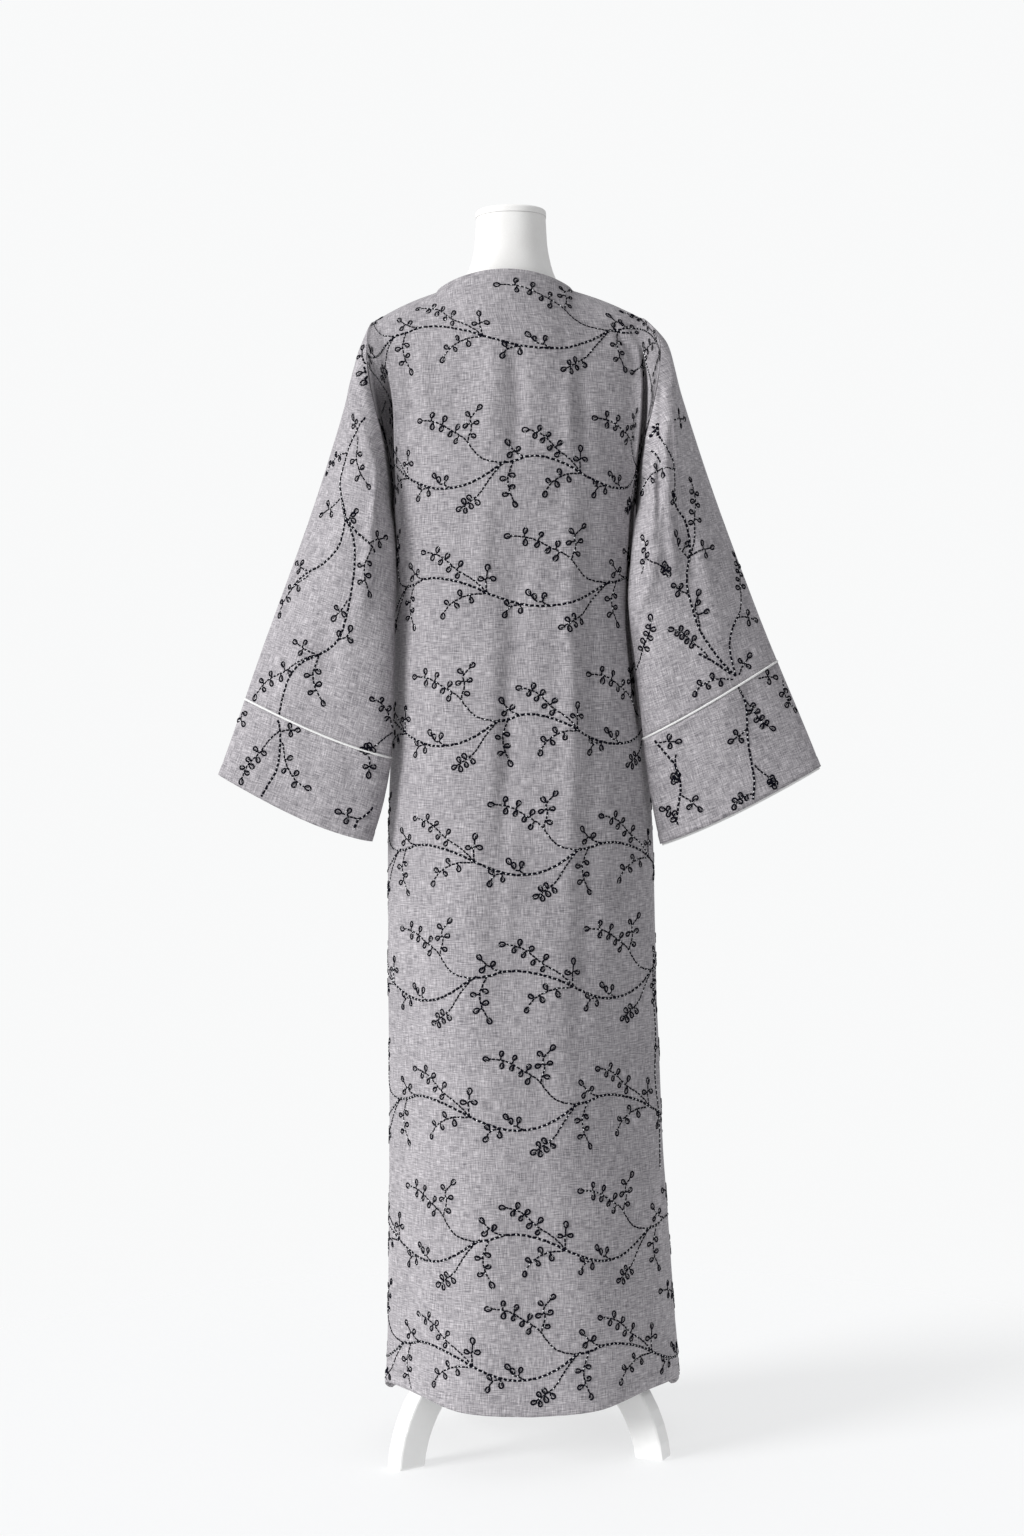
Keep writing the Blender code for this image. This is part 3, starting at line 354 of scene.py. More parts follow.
# Paint: its colour, its roughness and its bump's depth
WOOD_PAINT = ((0.90, 0.90, 0.89), 0.38, 0.00012)
METAL_PAINT = ((0.88, 0.88, 0.88), 0.3, 0.00006)
PAINT_BUMP_STRENGTH = 0.5
PAINT_COAT = 0.12
PAINT_WORN_SHARE = 0.94
PAINT_STOPS = (0.3, 0.62)
PAINT_SOFT_SCALE = 28.0
PAINT_FINE_SCALE = 340.0
PAINT_FINE_ENDS = (0.3, 0.7)
PAINT_SMOOTHER = 0.06
PAINT_ROUGHER = 0.08

# Dress form and studio
CAP_OVERHANG = 0.6
CAP_ROUNDING = 3.0
CAP_ROUND_STEPS = 6
FORM_SMOOTH_ANGLE = 40.0
EDGING_ROWS = 5
FLOOR_RADIUS = 4.0
FLOOR_FADE_START = 0.45
FLOOR_FADE_END = 1.5
FLOOR_COLOUR = (0.36, 0.362, 0.365)
FLOOR_GLOW = 0.66
FLOOR_ROUGHNESS = 0.8
FLOOR_SPECULAR = 0.2
AMBIENT_COLOUR = (0.98, 0.985, 1.0)
AMBIENT_STRENGTH = 0.55
BACKDROP_COLOUR = (0.945, 0.95, 0.952)
LIGHTS = [("key", (0.82, 0.46, 0.36), 3.0, 24.0)]
PHOTO_HEIGHT = 1536.0
CAMERA_SENSOR = 36.0
CAMERA_FOCAL_PIXELS = 2418.0
CAMERA_HORIZON_PIXEL = 755.0
CAMERA_PLACE = (0.009, 3.0106, 0.85)
CAMERA_ROLL = 0.8

# Embroidered vine: one repeat, in millimetres ahead of where its frond leaves it and upwards
VINE_REPEAT = 245.0
VINE_NODE = 128.0
VINE = [
    (0, 0), (13, -9), (26, -17), (45, -25), (64, -28), (80, -28), (95, -25), (112, -19), (128, -12),
    (142, -5), (158, 1), (173, 5), (190, 8), (205, 8), (213, 7), (226, 3), (245, 0)]

# Its sprigs: stem points, then the middles of the leaves, the last of which is the tip
SPRIGS = {
    "frond": (
        [
            (0, 0), (5, 1), (16, 3), (27, 8), (37, 19), (44, 29), (53, 36), (64, 42), (75, 49), (87, 54),
            (101, 56)],
        [(58, 29), (56, 46), (66, 38), (73, 57), (77, 45), (89, 62), (89, 48), (107, 56)]),
    "spur": (
        [(42, 28), (40, 36), (37, 44), (39, 55), (32, 63)],
        [(35, 34), (45, 47), (31, 50), (42, 61), (27, 68)]),
    "crest": ([(206, 8), (217, 9), (226, 14), (232, 19)], [(222, 17), (234, 10), (237, 25)]),
    "cluster": (
        [(-5, 3), (3, -4), (11, -13), (19, -24), (27, -36), (33, -41), (46, -50)],
        [(30, -47), (40, -41), (38, -51), (47, -45), (45, -56), (53, -54)]),
    "droop": (
        [(-16, 3), (-11, -9), (-8, -16), (-8, -24), (-10, -34), (-15, -44)],
        [(-14, -15), (-1, -19), (-14, -29), (-4, -38), (-18, -50)]),
    "plume": (
        [(128, -12), (136, -3), (147, 6), (157, 12), (165, 17), (174, 25), (184, 33), (194, 37), (206, 40)],
        [(164, 10), (160, 24), (175, 18), (177, 34), (186, 27), (190, 42), (197, 33), (211, 40)]),
    "bud": ([(128, -12), (129, 0), (128, 7)], [(122, 5), (135, 5), (127, 18)]),
    "drop": (
        [(128, -12), (136, -13), (147, -13), (160, -17), (173, -24), (181, -33)],
        [(147, -20), (161, -11), (165, -26), (178, -22), (183, -38)]),
    "low_pair": ([(93, -26), (101, -27), (107, -31)], [(94, -33), (108, -24), (110, -38)]),
    "high_pair": ([(64, -28), (72, -24), (79, -22)], [(70, -16), (80, -17), (86, -12)])}
# Rows of the back: height, and the places across of where the frond leaves and of the node, which is
# the one ahead of it or, when it lies on the other side, the one behind it
BACK_ROWS = [
    (1369, -130, 37), (1200, 15, -81), (1056, -117, 34), (890, 26, -70), (735, -68, 55), (585, 59, -61),
    (434, -61, 66), (276, 62, -43), (142, -52, 71)]
FRONT_ROWS = [
    (1300, 95, 223), (1162, 20, 148), (1018, 110, 238), (868, 25, 153), (712, 118, 246), (560, 30, 158),
    (408, 122, 250), (255, 36, 164), (118, 126, 254)]

BACK_SIDE_VINE = [[(-197, 605), (-194, 560), (-200, 510), (-195, 455), (-203, 400), (-200, 345)]]

# Embroidery beside the armholes of the back: stems, then leaves by middle and heading
BACK_ARMHOLE_STEMS = [
    [(279, 1343), (277, 1330), (230, 1316), (202, 1302), (192, 1294), (189, 1279), (201, 1263)],
    [(211, 1290), (234, 1281), (262, 1277)], [(-139, 1375), (-147, 1369), (-157, 1367), (-168, 1370)],
    [(-193, 1346), (-206, 1332), (-226, 1315), (-272, 1294), (-300, 1284)],
    [(-163, 1317), (-180, 1323), (-207, 1325)]]
BACK_ARMHOLE_LEAVES = [
    ((276, 1349), (0, 1)), ((238, 1350), (-1, 1)), ((283, 1340), (1, 0)), ((287, 1331), (1, 0)),
    ((185, 1287), (0, -1)), ((197, 1279), (1, -1)), ((188, 1271), (-1, -1)), ((203, 1266), (0, -1)),
    ((192, 1260), (0, -1)), ((262, 1253), (1, -1)), ((320, 1240), (1, -1)), ((-155, 1380), (0, 1)),
    ((-170, 1379), (-1, 1)), ((-177, 1371), (-1, 0)), ((-191, 1353), (0, 1)), ((-206, 1334), (0, 1)),
    ((-188, 1325), (1, 0)), ((-200, 1317), (0, -1)), ((-160, 1316), (1, 0)), ((-262, 1322), (-1, 1)),
    ((-256, 1314), (-1, 0)), ((-276, 1305), (-1, 0)), ((-267, 1296), (0, -1)), ((-318, 1278), (-1, -1))]

# Sleeve embroidery: stems as places from the outer fold and down it, then sprigs by base and tip
SLEEVE_STEMS = {
    "left": [
        [(56, 59), (50, 40)],
        [
            (86, 122), (71, 141), (61, 160), (57, 185), (57, 206), (67, 225), (77, 243), (89, 256),
            (99, 273), (106, 301), (109, 327), (111, 356), (110, 383), (102, 399), (90, 412), (71, 429),
            (61, 449), (59, 474), (60, 497)],
        [(60, 503), (66, 512), (73, 534), (77, 560), (73, 579), (69, 598)],
        [(67, 225), (77, 240), (80, 258), (78, 283), (62, 306), (40, 323), (26, 338), (18, 354)],
        [(80, 245), (97, 257), (115, 264), (125, 268), (133, 275)],
        [(205, 565), (199, 577), (191, 586), (190, 598)]],
    "right": [
        [
            (70, 456), (75, 448), (84, 431), (93, 407), (99, 384), (100, 356), (100, 336), (95, 317),
            (86, 300), (81, 281), (81, 257), (91, 238), (90, 218), (85, 196), (87, 179), (102, 152),
            (97, 135)],
        [(70, 456), (69, 432), (64, 413), (51, 396), (38, 386)],
        [(76, 451), (92, 431), (108, 414)],
        [(73, 466), (70, 485), (73, 502), (84, 533), (90, 563), (94, 583), (103, 603)],
        [(193, 493), (185, 513), (178, 533), (181, 557), (190, 575), (201, 596)],
        [(101, 141), (118, 157), (107, 183)]]}
SLEEVE_SPRIGS = {
    "left": [
        ("bud", (57, 59), (40, 39)), ("high_pair", (57, 62), (66, 82)), ("bud", (74, 141), (61, 126)),
        ("droop", (75, 147), (105, 201)), ("drop", (58, 169), (20, 198)), ("bud", (64, 225), (36, 250)),
        ("high_pair", (83, 251), (92, 234)), ("bud", (120, 266), (146, 252)),
        ("droop", (125, 270), (134, 324)), ("bud", (40, 320), (14, 315)), ("drop", (44, 325), (15, 382)),
        ("bud", (107, 339), (96, 365)), ("low_pair", (109, 387), (120, 370)), ("bud", (85, 413), (54, 407)),
        ("plume", (90, 412), (19, 487)), ("droop", (90, 413), (111, 466)), ("drop", (205, 467), (168, 442)),
        ("cluster", (206, 472), (172, 503)), ("bud", (182, 508), (188, 530)),
        ("plume", (67, 515), (38, 589)), ("bud", (69, 515), (89, 507)), ("drop", (74, 527), (121, 569)),
        ("bud", (194, 584), (165, 584)), ("low_pair", (6, 508), (14, 522))],
    "right": [
        ("plume", (38, 386), (11, 315)), ("bud", (42, 389), (14, 400)), ("plume", (98, 422), (133, 375)),
        ("drop", (75, 458), (127, 458)), ("bud", (66, 456), (43, 438)), ("bud", (43, 468), (17, 474)),
        ("plume", (85, 300), (57, 213)), ("bud", (85, 300), (49, 299)),
        ("high_pair", (88, 303), (100, 269)), ("bud", (91, 240), (97, 223)),
        ("bud", (101, 342), (117, 327)), ("high_pair", (97, 385), (87, 345)),
        ("drop", (159, 301), (157, 260)), ("cluster", (152, 282), (121, 311)),
        ("plume", (196, 406), (155, 353)), ("bud", (73, 139), (34, 139)),
        ("cluster", (104, 150), (96, 122)), ("drop", (82, 195), (150, 207)),
        ("plume", (72, 470), (48, 531)), ("bud", (80, 520), (105, 527)), ("cluster", (87, 564), (72, 597)),
        ("drop", (101, 596), (128, 603)), ("bud", (189, 498), (165, 505)),
        ("cluster", (173, 518), (187, 548)), ("bud", (184, 567), (168, 591)),
        ("drop", (199, 600), (212, 575)), ("droop", (6, 480), (6, 520))]}

# Thread: stitch lengths, gaps, widths and heights
STEM_STITCH = 5.2
STEM_GAP = 0.9
STEM_WIDTH = 3.5
STEM_GLINTS = 0.75
SPRIG_STITCH = 4.4
SPRIG_GAP = 0.7
SPRIG_WIDTH = 2.5
SPRIG_GLINTS = 0.3
STITCH_LENGTHS = (0.85, 1.15)
STITCH_GAPS = (0.6, 1.4)
STITCH_SWAY = 0.12
LAST_STITCH_SHARE = 0.3
STALK_OVERLAP = 0.8
STALK_WIDTH_SHARE = 0.9
THREAD_HEIGHT = 1.0
THREAD_SUNK = 0.15
LEAF_LENGTH = 9.4
LEAF_WIDTH = 7.4
LEAF_STROKE = 2.6
LEAF_EGG = 0.16
LEAF_SIDES = 10
LEAF_TURN = 0.25
LEAF_SIZES = (0.92, 1.1)
TIP_LEAF_SIZE = 1.08
CURL_LENGTH = 3.4
CURL_WIDTH = 1.1
CURL_ASIDE = 0.5
CURL_BACK_SHARE = 0.6
CURL_AHEAD_SHARE = 0.4
CURL_HEIGHT_SHARE = 0.8
# Glints: flecks of metal thread, their near-white colour partly a painted highlight
GLINT_LENGTH = 2.6
GLINT_WIDTH = 1.5
GLINT_LIFT = 1.15
LEAF_GLINT_SHARE = 0.75
LEAF_GLINT_WIDTH_SHARE = 0.8
BAR_STATIONS = ((0.0, 0.45), (0.14, 1.0), (0.86, 1.0), (1.0, 0.45))
BAR_CORNERS = ((-1.0, -THREAD_SUNK), (0.0, 1.0), (1.0, -THREAD_SUNK))
SEWING_STITCH = 2.8
SEWING_GAP = 1.0
SEWING_WIDTH = 0.55
SEWING_HEIGHT = 0.3
NAVY = 0
SILVER_AND_PAINTED_GLINT = 1
SEWING = 2

# Where the random draws start, by piece
SEEDS = {
    "back_cloth": 11, "front_cloth_left": 23, "front_cloth_right": 37, "sleeve_cloth_left": 41,
    "sleeve_cloth_right": 53, "sleeve_creases": 7, "back_embroidery": 61, "front_embroidery_left": 62,
    "front_embroidery_right": 64, "sleeve_embroidery_left": 71, "sleeve_embroidery_right": 83,
    "back_sewing": 91, "front_sewing_left": 92, "front_sewing_right": 93, "cuff_sewing_left": 94,
    "cuff_sewing_right": 95}
WANDER_SEED_STEP = 3
NOISE_CELLS = 64

# Mesh fineness, and how places on the flat cloth are found
NECK_STEPS = 28
SHOULDER_STEPS = 24
ARMHOLE_STEPS = 64
HEM_ROWS = (0.0, 4.0, 8.0, 12.0, 14.5, 16.0, 17.5, 20.0, 25.0)
SKIRT_LENGTH = 930.0
SKIRT_ROWS = 66
YOKE_ROWS = 80
SLEEVE_AROUND = 128
SLEEVE_ROWS = 90
ARMHOLE_ROWS = (0.0, 1.5, 3.0, 4.5, 6.0, 8.0, 10.5, 13.5, 17.0)
CUFF_ROWS = 20
CUFF_EDGE_ROWS = (18.0, 15.5, 14.0, 12.5, 10.0, 5.0, 0.0)
TORSO_AROUND = 80
TORSO_ROWS = 90
PIPING_SIDES = 8
CURVE_STEPS = 8
NEWTON_STEPS = 7
SEARCH_STEP = 4
SEARCH_BATCH = 4000
FIRST_PLACE = 0.51
LAST_PLACE = 1.51
LAST_CELL = 1.001
LARGEST_MISS = 1.0
TINY = 1e-6
FLOOR_SEGMENTS = 96


# Meshes and smooth grids

def smooth_step(value):
    value = np.clip(value, 0.0, 1.0)
    return value * value * (3 - 2 * value)


def grid_faces(rows, columns, start, wraps):
    """Quads over a grid of points, closed round when it wraps."""
    row, column = np.mgrid[0:rows - 1, 0:columns if wraps else columns - 1]
    after = (column + 1) % columns
    low = start + row * columns
    quads = np.stack([low + column, low + after, low + columns + after, low + columns + column], axis=-1)
    return quads.reshape(-1, 4)


def sheet_faces(rows, columns, wraps):
    """Faces of a wall between an outer grid and an inner grid that follows it."""
    count = rows * columns
    across = np.arange(columns if wraps else columns - 1)
    after = (across + 1) % columns
    top = (rows - 1) * columns
    faces = [
        grid_faces(rows, columns, 0, wraps), grid_faces(rows, columns, count, wraps)[:, ::-1],
        np.stack([after, across, count + across, count + after], axis=-1),
        np.stack([top + across, top + after, count + top + after, count + top + across], axis=-1)]
    if not wraps:
        low = np.arange(rows - 1) * columns
        high = low + columns
        far = columns - 1
        faces.append(np.stack([low, high, count + high, count + low], axis=-1))
        faces.append(np.stack([high + far, low + far, count + low + far, count + high + far], axis=-1))
    return np.concatenate(faces)


def round_faces(rows, columns):
    """Quads over a grid that closes both ways."""
    return grid_faces(rows + 1, columns, 0, wraps=True) % (rows * columns)


def triangles(quads):
    return np.concatenate([quads[:, [0, 1, 2]], quads[:, [0, 2, 3]]])


def wrapped(grid):
    """A grid with its first column repeated at the end."""
    return np.concatenate([grid, grid[:, :1]], axis=1)


def unit(vectors):
    return vectors / np.linalg.norm(vectors, axis=-1, keepdims=True)


def new_mesh(name, points, faces, materials, smooth_angle=None, weave=None, slots=None):
    """A piece from points in millimetres. weave holds each point's place on the flat cloth."""
    mesh = bpy.data.meshes.new(name)
    points = (np.asarray(points) + (0.0, BODY_BACK, 0.0)) * METRES
    mesh.from_pydata(points.tolist(), [], faces if isinstance(faces, list) else faces.tolist())
    for made in materials:
        mesh.materials.append(made)
    if weave is not None:
        layer = mesh.uv_layers.new(name="weave")
        corners = np.zeros(len(mesh.loops), dtype=np.int32)
        mesh.loops.foreach_get("vertex_index", corners)
        layer.data.foreach_set("uv", (weave[corners] * METRES).astype(np.float32).ravel())
    if slots is not None:
        mesh.polygons.foreach_set("material_index", np.asarray(slots, dtype=np.int32))
    mesh.shade_smooth()
    if smooth_angle is not None:
        mesh.set_sharp_from_angle(angle=math.radians(smooth_angle))
    mesh.update()
    made = bpy.data.objects.new(name, mesh)
    bpy.context.scene.collection.objects.link(made)
    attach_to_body(made, "root")
    work = bmesh.new()
    work.from_mesh(mesh)
    bmesh.ops.recalc_face_normals(work, faces=work.faces)
    work.to_mesh(mesh)
    work.free()
    return made


def dress(node):
    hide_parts(node)


def grid_normals(grid, wraps, outward):
    """Unit normals of a grid of points, on the side that the outward vectors point to."""
    if wraps:
        padded = np.concatenate([grid[:, -1:], grid, grid[:, :1]], axis=1)
        across = (padded[:, 2:] - padded[:, :-2]) / 2
    else:
        across = np.gradient(grid, axis=1)
    normals = unit(np.cross(across, np.gradient(grid, axis=0)))
    return -normals if np.sum(normals * outward) < 0 else normals


def lengths_down(grid):
    """Arc length of each column of a grid, from its first row."""
    steps = np.linalg.norm(np.diff(grid, axis=0), axis=2)
    return np.concatenate([np.zeros((1, grid.shape[1])), np.cumsum(steps, axis=0)])


def lengths_across(grid):
    """Arc length of each row of a grid, from its first column."""
    return lengths_down(grid.transpose(1, 0, 2)).T


class Noise:
    """Soft random unevenness over flat cloth, between about -1 and 1."""

    def __init__(self, seed, cell):
        self.values = np.random.default_rng(seed).uniform(-1, 1, (NOISE_CELLS, NOISE_CELLS))
        self.cell = cell

    def at(self, across, along):
        x = np.asarray(across) / self.cell
        y = np.asarray(along) / self.cell
        column = np.floor(x).astype(int)
        row = np.floor(y).astype(int)
        x = smooth_step(x - column)
        y = smooth_step(y - row)
        total = 0.0
        for row_step, row_share in ((0, 1 - y), (1, y)):
            for column_step, column_share in ((0, 1 - x), (1, x)):
                value = self.values[(row + row_step) % NOISE_CELLS, (column + column_step) % NOISE_CELLS]
                total = total + value * row_share * column_share
        return total


# Body shape

def section_point(face, place, height):
    """Points on the body's level sections at an array of heights."""
    half_width = BODY.at("half_width", height)
    depth = BODY.at(face + "_depth", height)
    power = 2 / SECTION_ROUNDNESS
    start = 0.0
    if face == "front":
        start = np.arcsin((BODY.at("front_edge", height) / half_width) ** (1 / power))
    angle = start + place * (math.pi / 2 - start)
    out = half_width * np.sin(angle) ** power
    back = depth * np.clip(np.cos(angle), 0.0, 1.0) ** power
    return np.stack([out, back, np.asarray(height, dtype=float)], axis=-1)


def neckline_point(face, share):
    angle = share * math.pi / 2
    if face == "back":
        out = NECK_HALF_WIDTH * math.sin(angle)
        drop = (NECK_BACK_HEIGHT - NECK_POINT_HEIGHT) * math.sin(angle) ** NECK_DROP_POWER
        return np.array([out, NECK_BACK_DEPTH * math.cos(angle), NECK_BACK_HEIGHT - drop])
    edge = float(BODY.at("front_edge", TURN_HEIGHT))
    out = edge + (NECK_HALF_WIDTH - edge) * math.sin(angle)
    depth = NECK_FRONT_DEPTH * math.cos(angle) ** NECK_FRONT_ROUNDING
    rise = (NECK_POINT_HEIGHT - NECK_FRONT_HEIGHT) * (1 - math.cos(angle) ** NECK_FRONT_POWER)
    return np.array([out, depth, NECK_FRONT_HEIGHT + rise])


def shoulder_point(share):
    out = NECK_HALF_WIDTH + share * (SHOULDER_TIP - NECK_HALF_WIDTH)
    height = NECK_POINT_HEIGHT + share * (TIP_HEIGHT - NECK_POINT_HEIGHT)
    return np.array([out, 0.0, height + SHOULDER_BOW * math.sin(math.pi * share)])


def armhole_point(angle):
    """Point on the armhole seam. The angle runs from the shoulder tip to the underarm."""
    middle = (TIP_HEIGHT + UNDERARM_HEIGHT) / 2
    height = middle + (TIP_HEIGHT - middle) * math.cos(angle)
    return np.array([float(ARMHOLE.at("out", height)), ARMHOLE_HALF_DEPTH * math.sin(angle), height])


def top_edge_point(face, place):
    neck_end, tip_end = TOP_ENDS[face]
    if place <= neck_end:
        return neckline_point(face, place / neck_end)
    if place <= tip_end:
        return shoulder_point((place - neck_end) / (tip_end - neck_end))
    return armhole_point((place - tip_end) / (1 - tip_end) * math.pi)


def yoke_curve(face, share, up):
    """Cubic curve from the top of the skirt to the neckline, shoulder or armhole."""
    low = section_point(face, share, TURN_HEIGHT)
    below = section_point(face, share, TURN_HEIGHT - SLOPE_DROP)
    rise = (low - below) / SLOPE_DROP
    top = top_edge_point(face, share)
    reach = top[2] - low[2]
    heading = np.array([float(LEAVE[face].at(name, share)) for name in ("out", "back", "up")])
    heading /= np.linalg.norm(heading)
    first = low + rise * reach * float(RISE_LENGTH.at("share", share)) / 3
    second = top - heading * float(LEAVE[face].at("length", share)) / 3
    up = up[:, None]
    rest = 1 - up
    return rest**3 * low + 3 * rest * rest * up * first + 3 * rest * up * up * second + up**3 * top


def fold_depth(face, place, height, hem):
    total = 0.0
    for centre, half_width, depth, fade in BODY_FOLDS[face]:
        share = np.clip((fade - height) / (fade - hem), 0.0, 1.0)
        strength = FOLD_HEIGHT_SHARE + (1 - FOLD_HEIGHT_SHARE) * share
        strength = strength * depth * smooth_step(share * FOLD_START_RATE)
        total = total + strength * math.exp(-(((place - centre) / half_width) ** 2))
    return total


def body_column(face, place, ups):
    """Outer face of a body panel along one column of places up it: below 1 skirt, 1 to 2 yoke."""
    share = abs(place)
    hem = float(HEM.at("height", share if face == "back" else 2 - share))
    skirt = ups[ups <= 1]
    points = np.concatenate([section_point(face, share, hem + skirt * (TURN_HEIGHT - hem)),
                             yoke_curve(face, share, ups[ups > 1] - 1)])
    fade = float(smooth_step((1 - share) / SEAM_FADE_SHARE))
    push = fold_depth(face, place, points[:, 2], hem) * fade
    out = points[:, 0] / BODY.at("half_width", points[:, 2])
    outward = np.stack([out, np.full(len(ups), FOLD_BACKWARDS), np.zeros(len(ups))], axis=-1)
    points = points + push[:, None] * unit(outward)
    points[:, 1] += SEAM_GAP / 2
    if place < 0:
        points[:, 0] *= -1
    if face == "front":
        points[:, 1] *= -1
    return points


def leaned(grid, lean=CLOTH_LEAN):
    moved = grid.copy()
    moved[..., 0] += lean.at("left", grid[..., 2])
    return moved


def half_places(face):
    neck_end, tip_end = TOP_ENDS[face]
    neck = np.linspace(0, neck_end, NECK_STEPS, endpoint=False)
    shoulder = np.linspace(neck_end, tip_end, SHOULDER_STEPS, endpoint=False)
    armhole = np.linspace(tip_end, 1, ARMHOLE_STEPS + 1)
    return np.concatenate([neck, shoulder, armhole])


# Sleeve shape

def sleeve_fold_height(side, face, across, along):
    total = 0.0
    for fold_side, fold_face, first, last, start, end, half_width, height in SLEEVE_FOLDS:
        share = (along - start) / (end - start)
        if fold_side != side or fold_face != face or share <= 0 or share >= 1:
            continue
        centre = first + (last - first) * share
        swell = math.sin(math.pi * share) ** FOLD_SWELL_POWER
        total = total + height * swell * np.exp(-(((across - centre) / half_width) ** 2))
    return total


def sleeve_ring(side, turns, along):
    """Outer face of a sleeve and its cuff at one station, as on the wearer's left."""
    across = np.cos(turns)
    sine = np.sin(turns)
    outer_height = TIP_HEIGHT + along * (CUFF_OUTER_HEIGHT - TIP_HEIGHT)
    inner_height = UNDERARM_HEIGHT + along ** INNER_LAG[side] * (CUFF_INNER_HEIGHT[side] - UNDERARM_HEIGHT)
    outer_out = float(SLEEVE_OUTER.at("out", outer_height))
    inner_out = float(SLEEVE_INNER.at(side, inner_height))
    share = (1 + across) / 2
    bow = CUFF_EDGE_BOW[side] * along * along * (1 - across * across) * (1 - CUFF_EDGE_SKEW * across)
    height = inner_height + share * (outer_height - inner_height) - bow
    out = inner_out + share * (outer_out - inner_out)
    fade = 1 - float(smooth_step(along / ARMHOLE_FADE_SHARE))
    middle = (TIP_HEIGHT + UNDERARM_HEIGHT) / 2
    first = ARMHOLE.at("out", middle + (TIP_HEIGHT - middle) * across)
    underarm_out = ARMHOLE.at("out", UNDERARM_HEIGHT)
    first_line = SLEEVE_INNER.at(side, UNDERARM_HEIGHT) + share * (SHOULDER_TIP - underarm_out)
    out = out + (first + ARMHOLE_GAP - first_line) * fade
    inner_back = float(SLEEVE_DEPTH.at("inner_back", along))
    middle_back = inner_back + share * (float(SLEEVE_DEPTH.at("outer_back", along)) - inner_back)
    crispness = float(SLEEVE_DEPTH.at("crispness", along))
    depth = float(SLEEVE_DEPTH.at("half_depth", along)) * np.abs(sine) ** crispness
    folds = np.where(sine >= 0, sleeve_fold_height(side, "back", across, along),
                     sleeve_fold_height(side, "front", across, along))
    depth = depth + folds * smooth_step(np.abs(sine) / EDGE_FADE_TURN)
    return np.stack([out, middle_back + np.where(sine >= 0, 1.0, -1.0) * depth, height], axis=-1)


def sleeve_turns():
    """Angles round a sleeve from its inner seam, over the front, the outer fold and the back."""
    return np.linspace(-math.pi, math.pi, SLEEVE_AROUND, endpoint=False)


def sleeve_hang(side, along):
    """Pushes of a sleeve's ring at one station over the solid's, as on the wearer's left."""
    turns = sleeve_turns()
    share = (1 + np.cos(turns)) / 2
    full, inward, behind, under = [float(SLEEVE_HANG[side].at(name, along))
                                   for name in ("full", "inward", "behind", "under")]
    full = full * (1 - np.exp(-share / FULL_PLACE)) * np.clip(1 - share / FULL_END, 0.0, 1.0) ** FULL_POWER
    edge = np.exp(-share / INWARD_REACH)
    back = behind * edge + np.where(np.sin(turns) >= 0, full, 0.0) - under * np.exp(-share / UNDER_REACH)
    return np.stack([-inward * edge, back, np.zeros(len(turns))], axis=-1)


def sleeve_grid(side, stations, hung=False):
    grid = np.array([sleeve_ring(side, sleeve_turns(), along) for along in stations])
    if hung:
        grid = grid + np.array([sleeve_hang(side, along) for along in stations])
    if side == "right":
        grid = grid * np.array([-1.0, 1.0, 1.0])
    return leaned(grid)


def length_share(side, millimetres):
    """A length along the outer fold as a share of the whole sleeve."""
    rise = TIP_HEIGHT - CUFF_OUTER_HEIGHT
    run = float(SLEEVE_OUTER.at("out", CUFF_OUTER_HEIGHT)) - SHOULDER_TIP
    return millimetres / math.hypot(rise, run)


# Flat cloth and its surface

class Cloth:
    """A cloth piece as a grid of points with each point's place on the flat cloth."""

    def __init__(self, points, across, along, outward, wraps):
        self.wraps = wraps
        self.across = across
        self.along = along
        self.points = points
        self.normals = grid_normals(points, wraps, outward)

    def shaped(self, relief):
        """The cloth pushed out along its normals by a relief in millimetres."""
        self.points = self.points + relief[..., None] * self.normals
        self.normals = grid_normals(self.points, self.wraps, self.normals)

    def closed(self):
        """The grids with the first column repeated at the end, if the cloth goes right round."""
        if not self.wraps:
            return self.points, self.normals, self.across, self.along
        step = np.linalg.norm(self.points[:, :1] - self.points[:, -1:], axis=2)
        across = np.concatenate([self.across, self.across[:, -1:] + step], axis=1)
        return wrapped(self.points), wrapped(self.normals), across, wrapped(self.along)

    def place(self, spots):
        """Points over flat places with lifts, and which of them lie on the cloth."""
        points, normals, *flat = self.closed()
        rows, columns = flat[0].shape
        across, along, lift = spots.T
        row, column = nearest_cells(*flat, across, along)
        for _ in range(NEWTON_STEPS):
            here = mixed(flat, row, column)
            down = mixed(flat, row + 0.5, column) - mixed(flat, row - 0.5, column)
            over = mixed(flat, row, column + 0.5) - mixed(flat, row, column - 0.5)
            miss_across = across - here[0]
            miss_along = along - here[1]
            size = over[0] * down[1] - over[1] * down[0]
            size = np.where(np.abs(size) < TINY, TINY, size)
            column = column + (miss_across * down[1] - miss_along * down[0]) / size
            column = np.clip(column, FIRST_PLACE, columns - LAST_PLACE)
            row = row + (over[0] * miss_along - over[1] * miss_across) / size
            row = np.clip(row, FIRST_PLACE, rows - LAST_PLACE)
        here = mixed(flat, row, column)
        on_cloth = np.hypot(across - here[0], along - here[1]) < LARGEST_MISS
        normal = unit(mixed(normals.transpose(2, 0, 1), row, column).T)
        return mixed(points.transpose(2, 0, 1), row, column).T + normal * lift[:, None], on_cloth


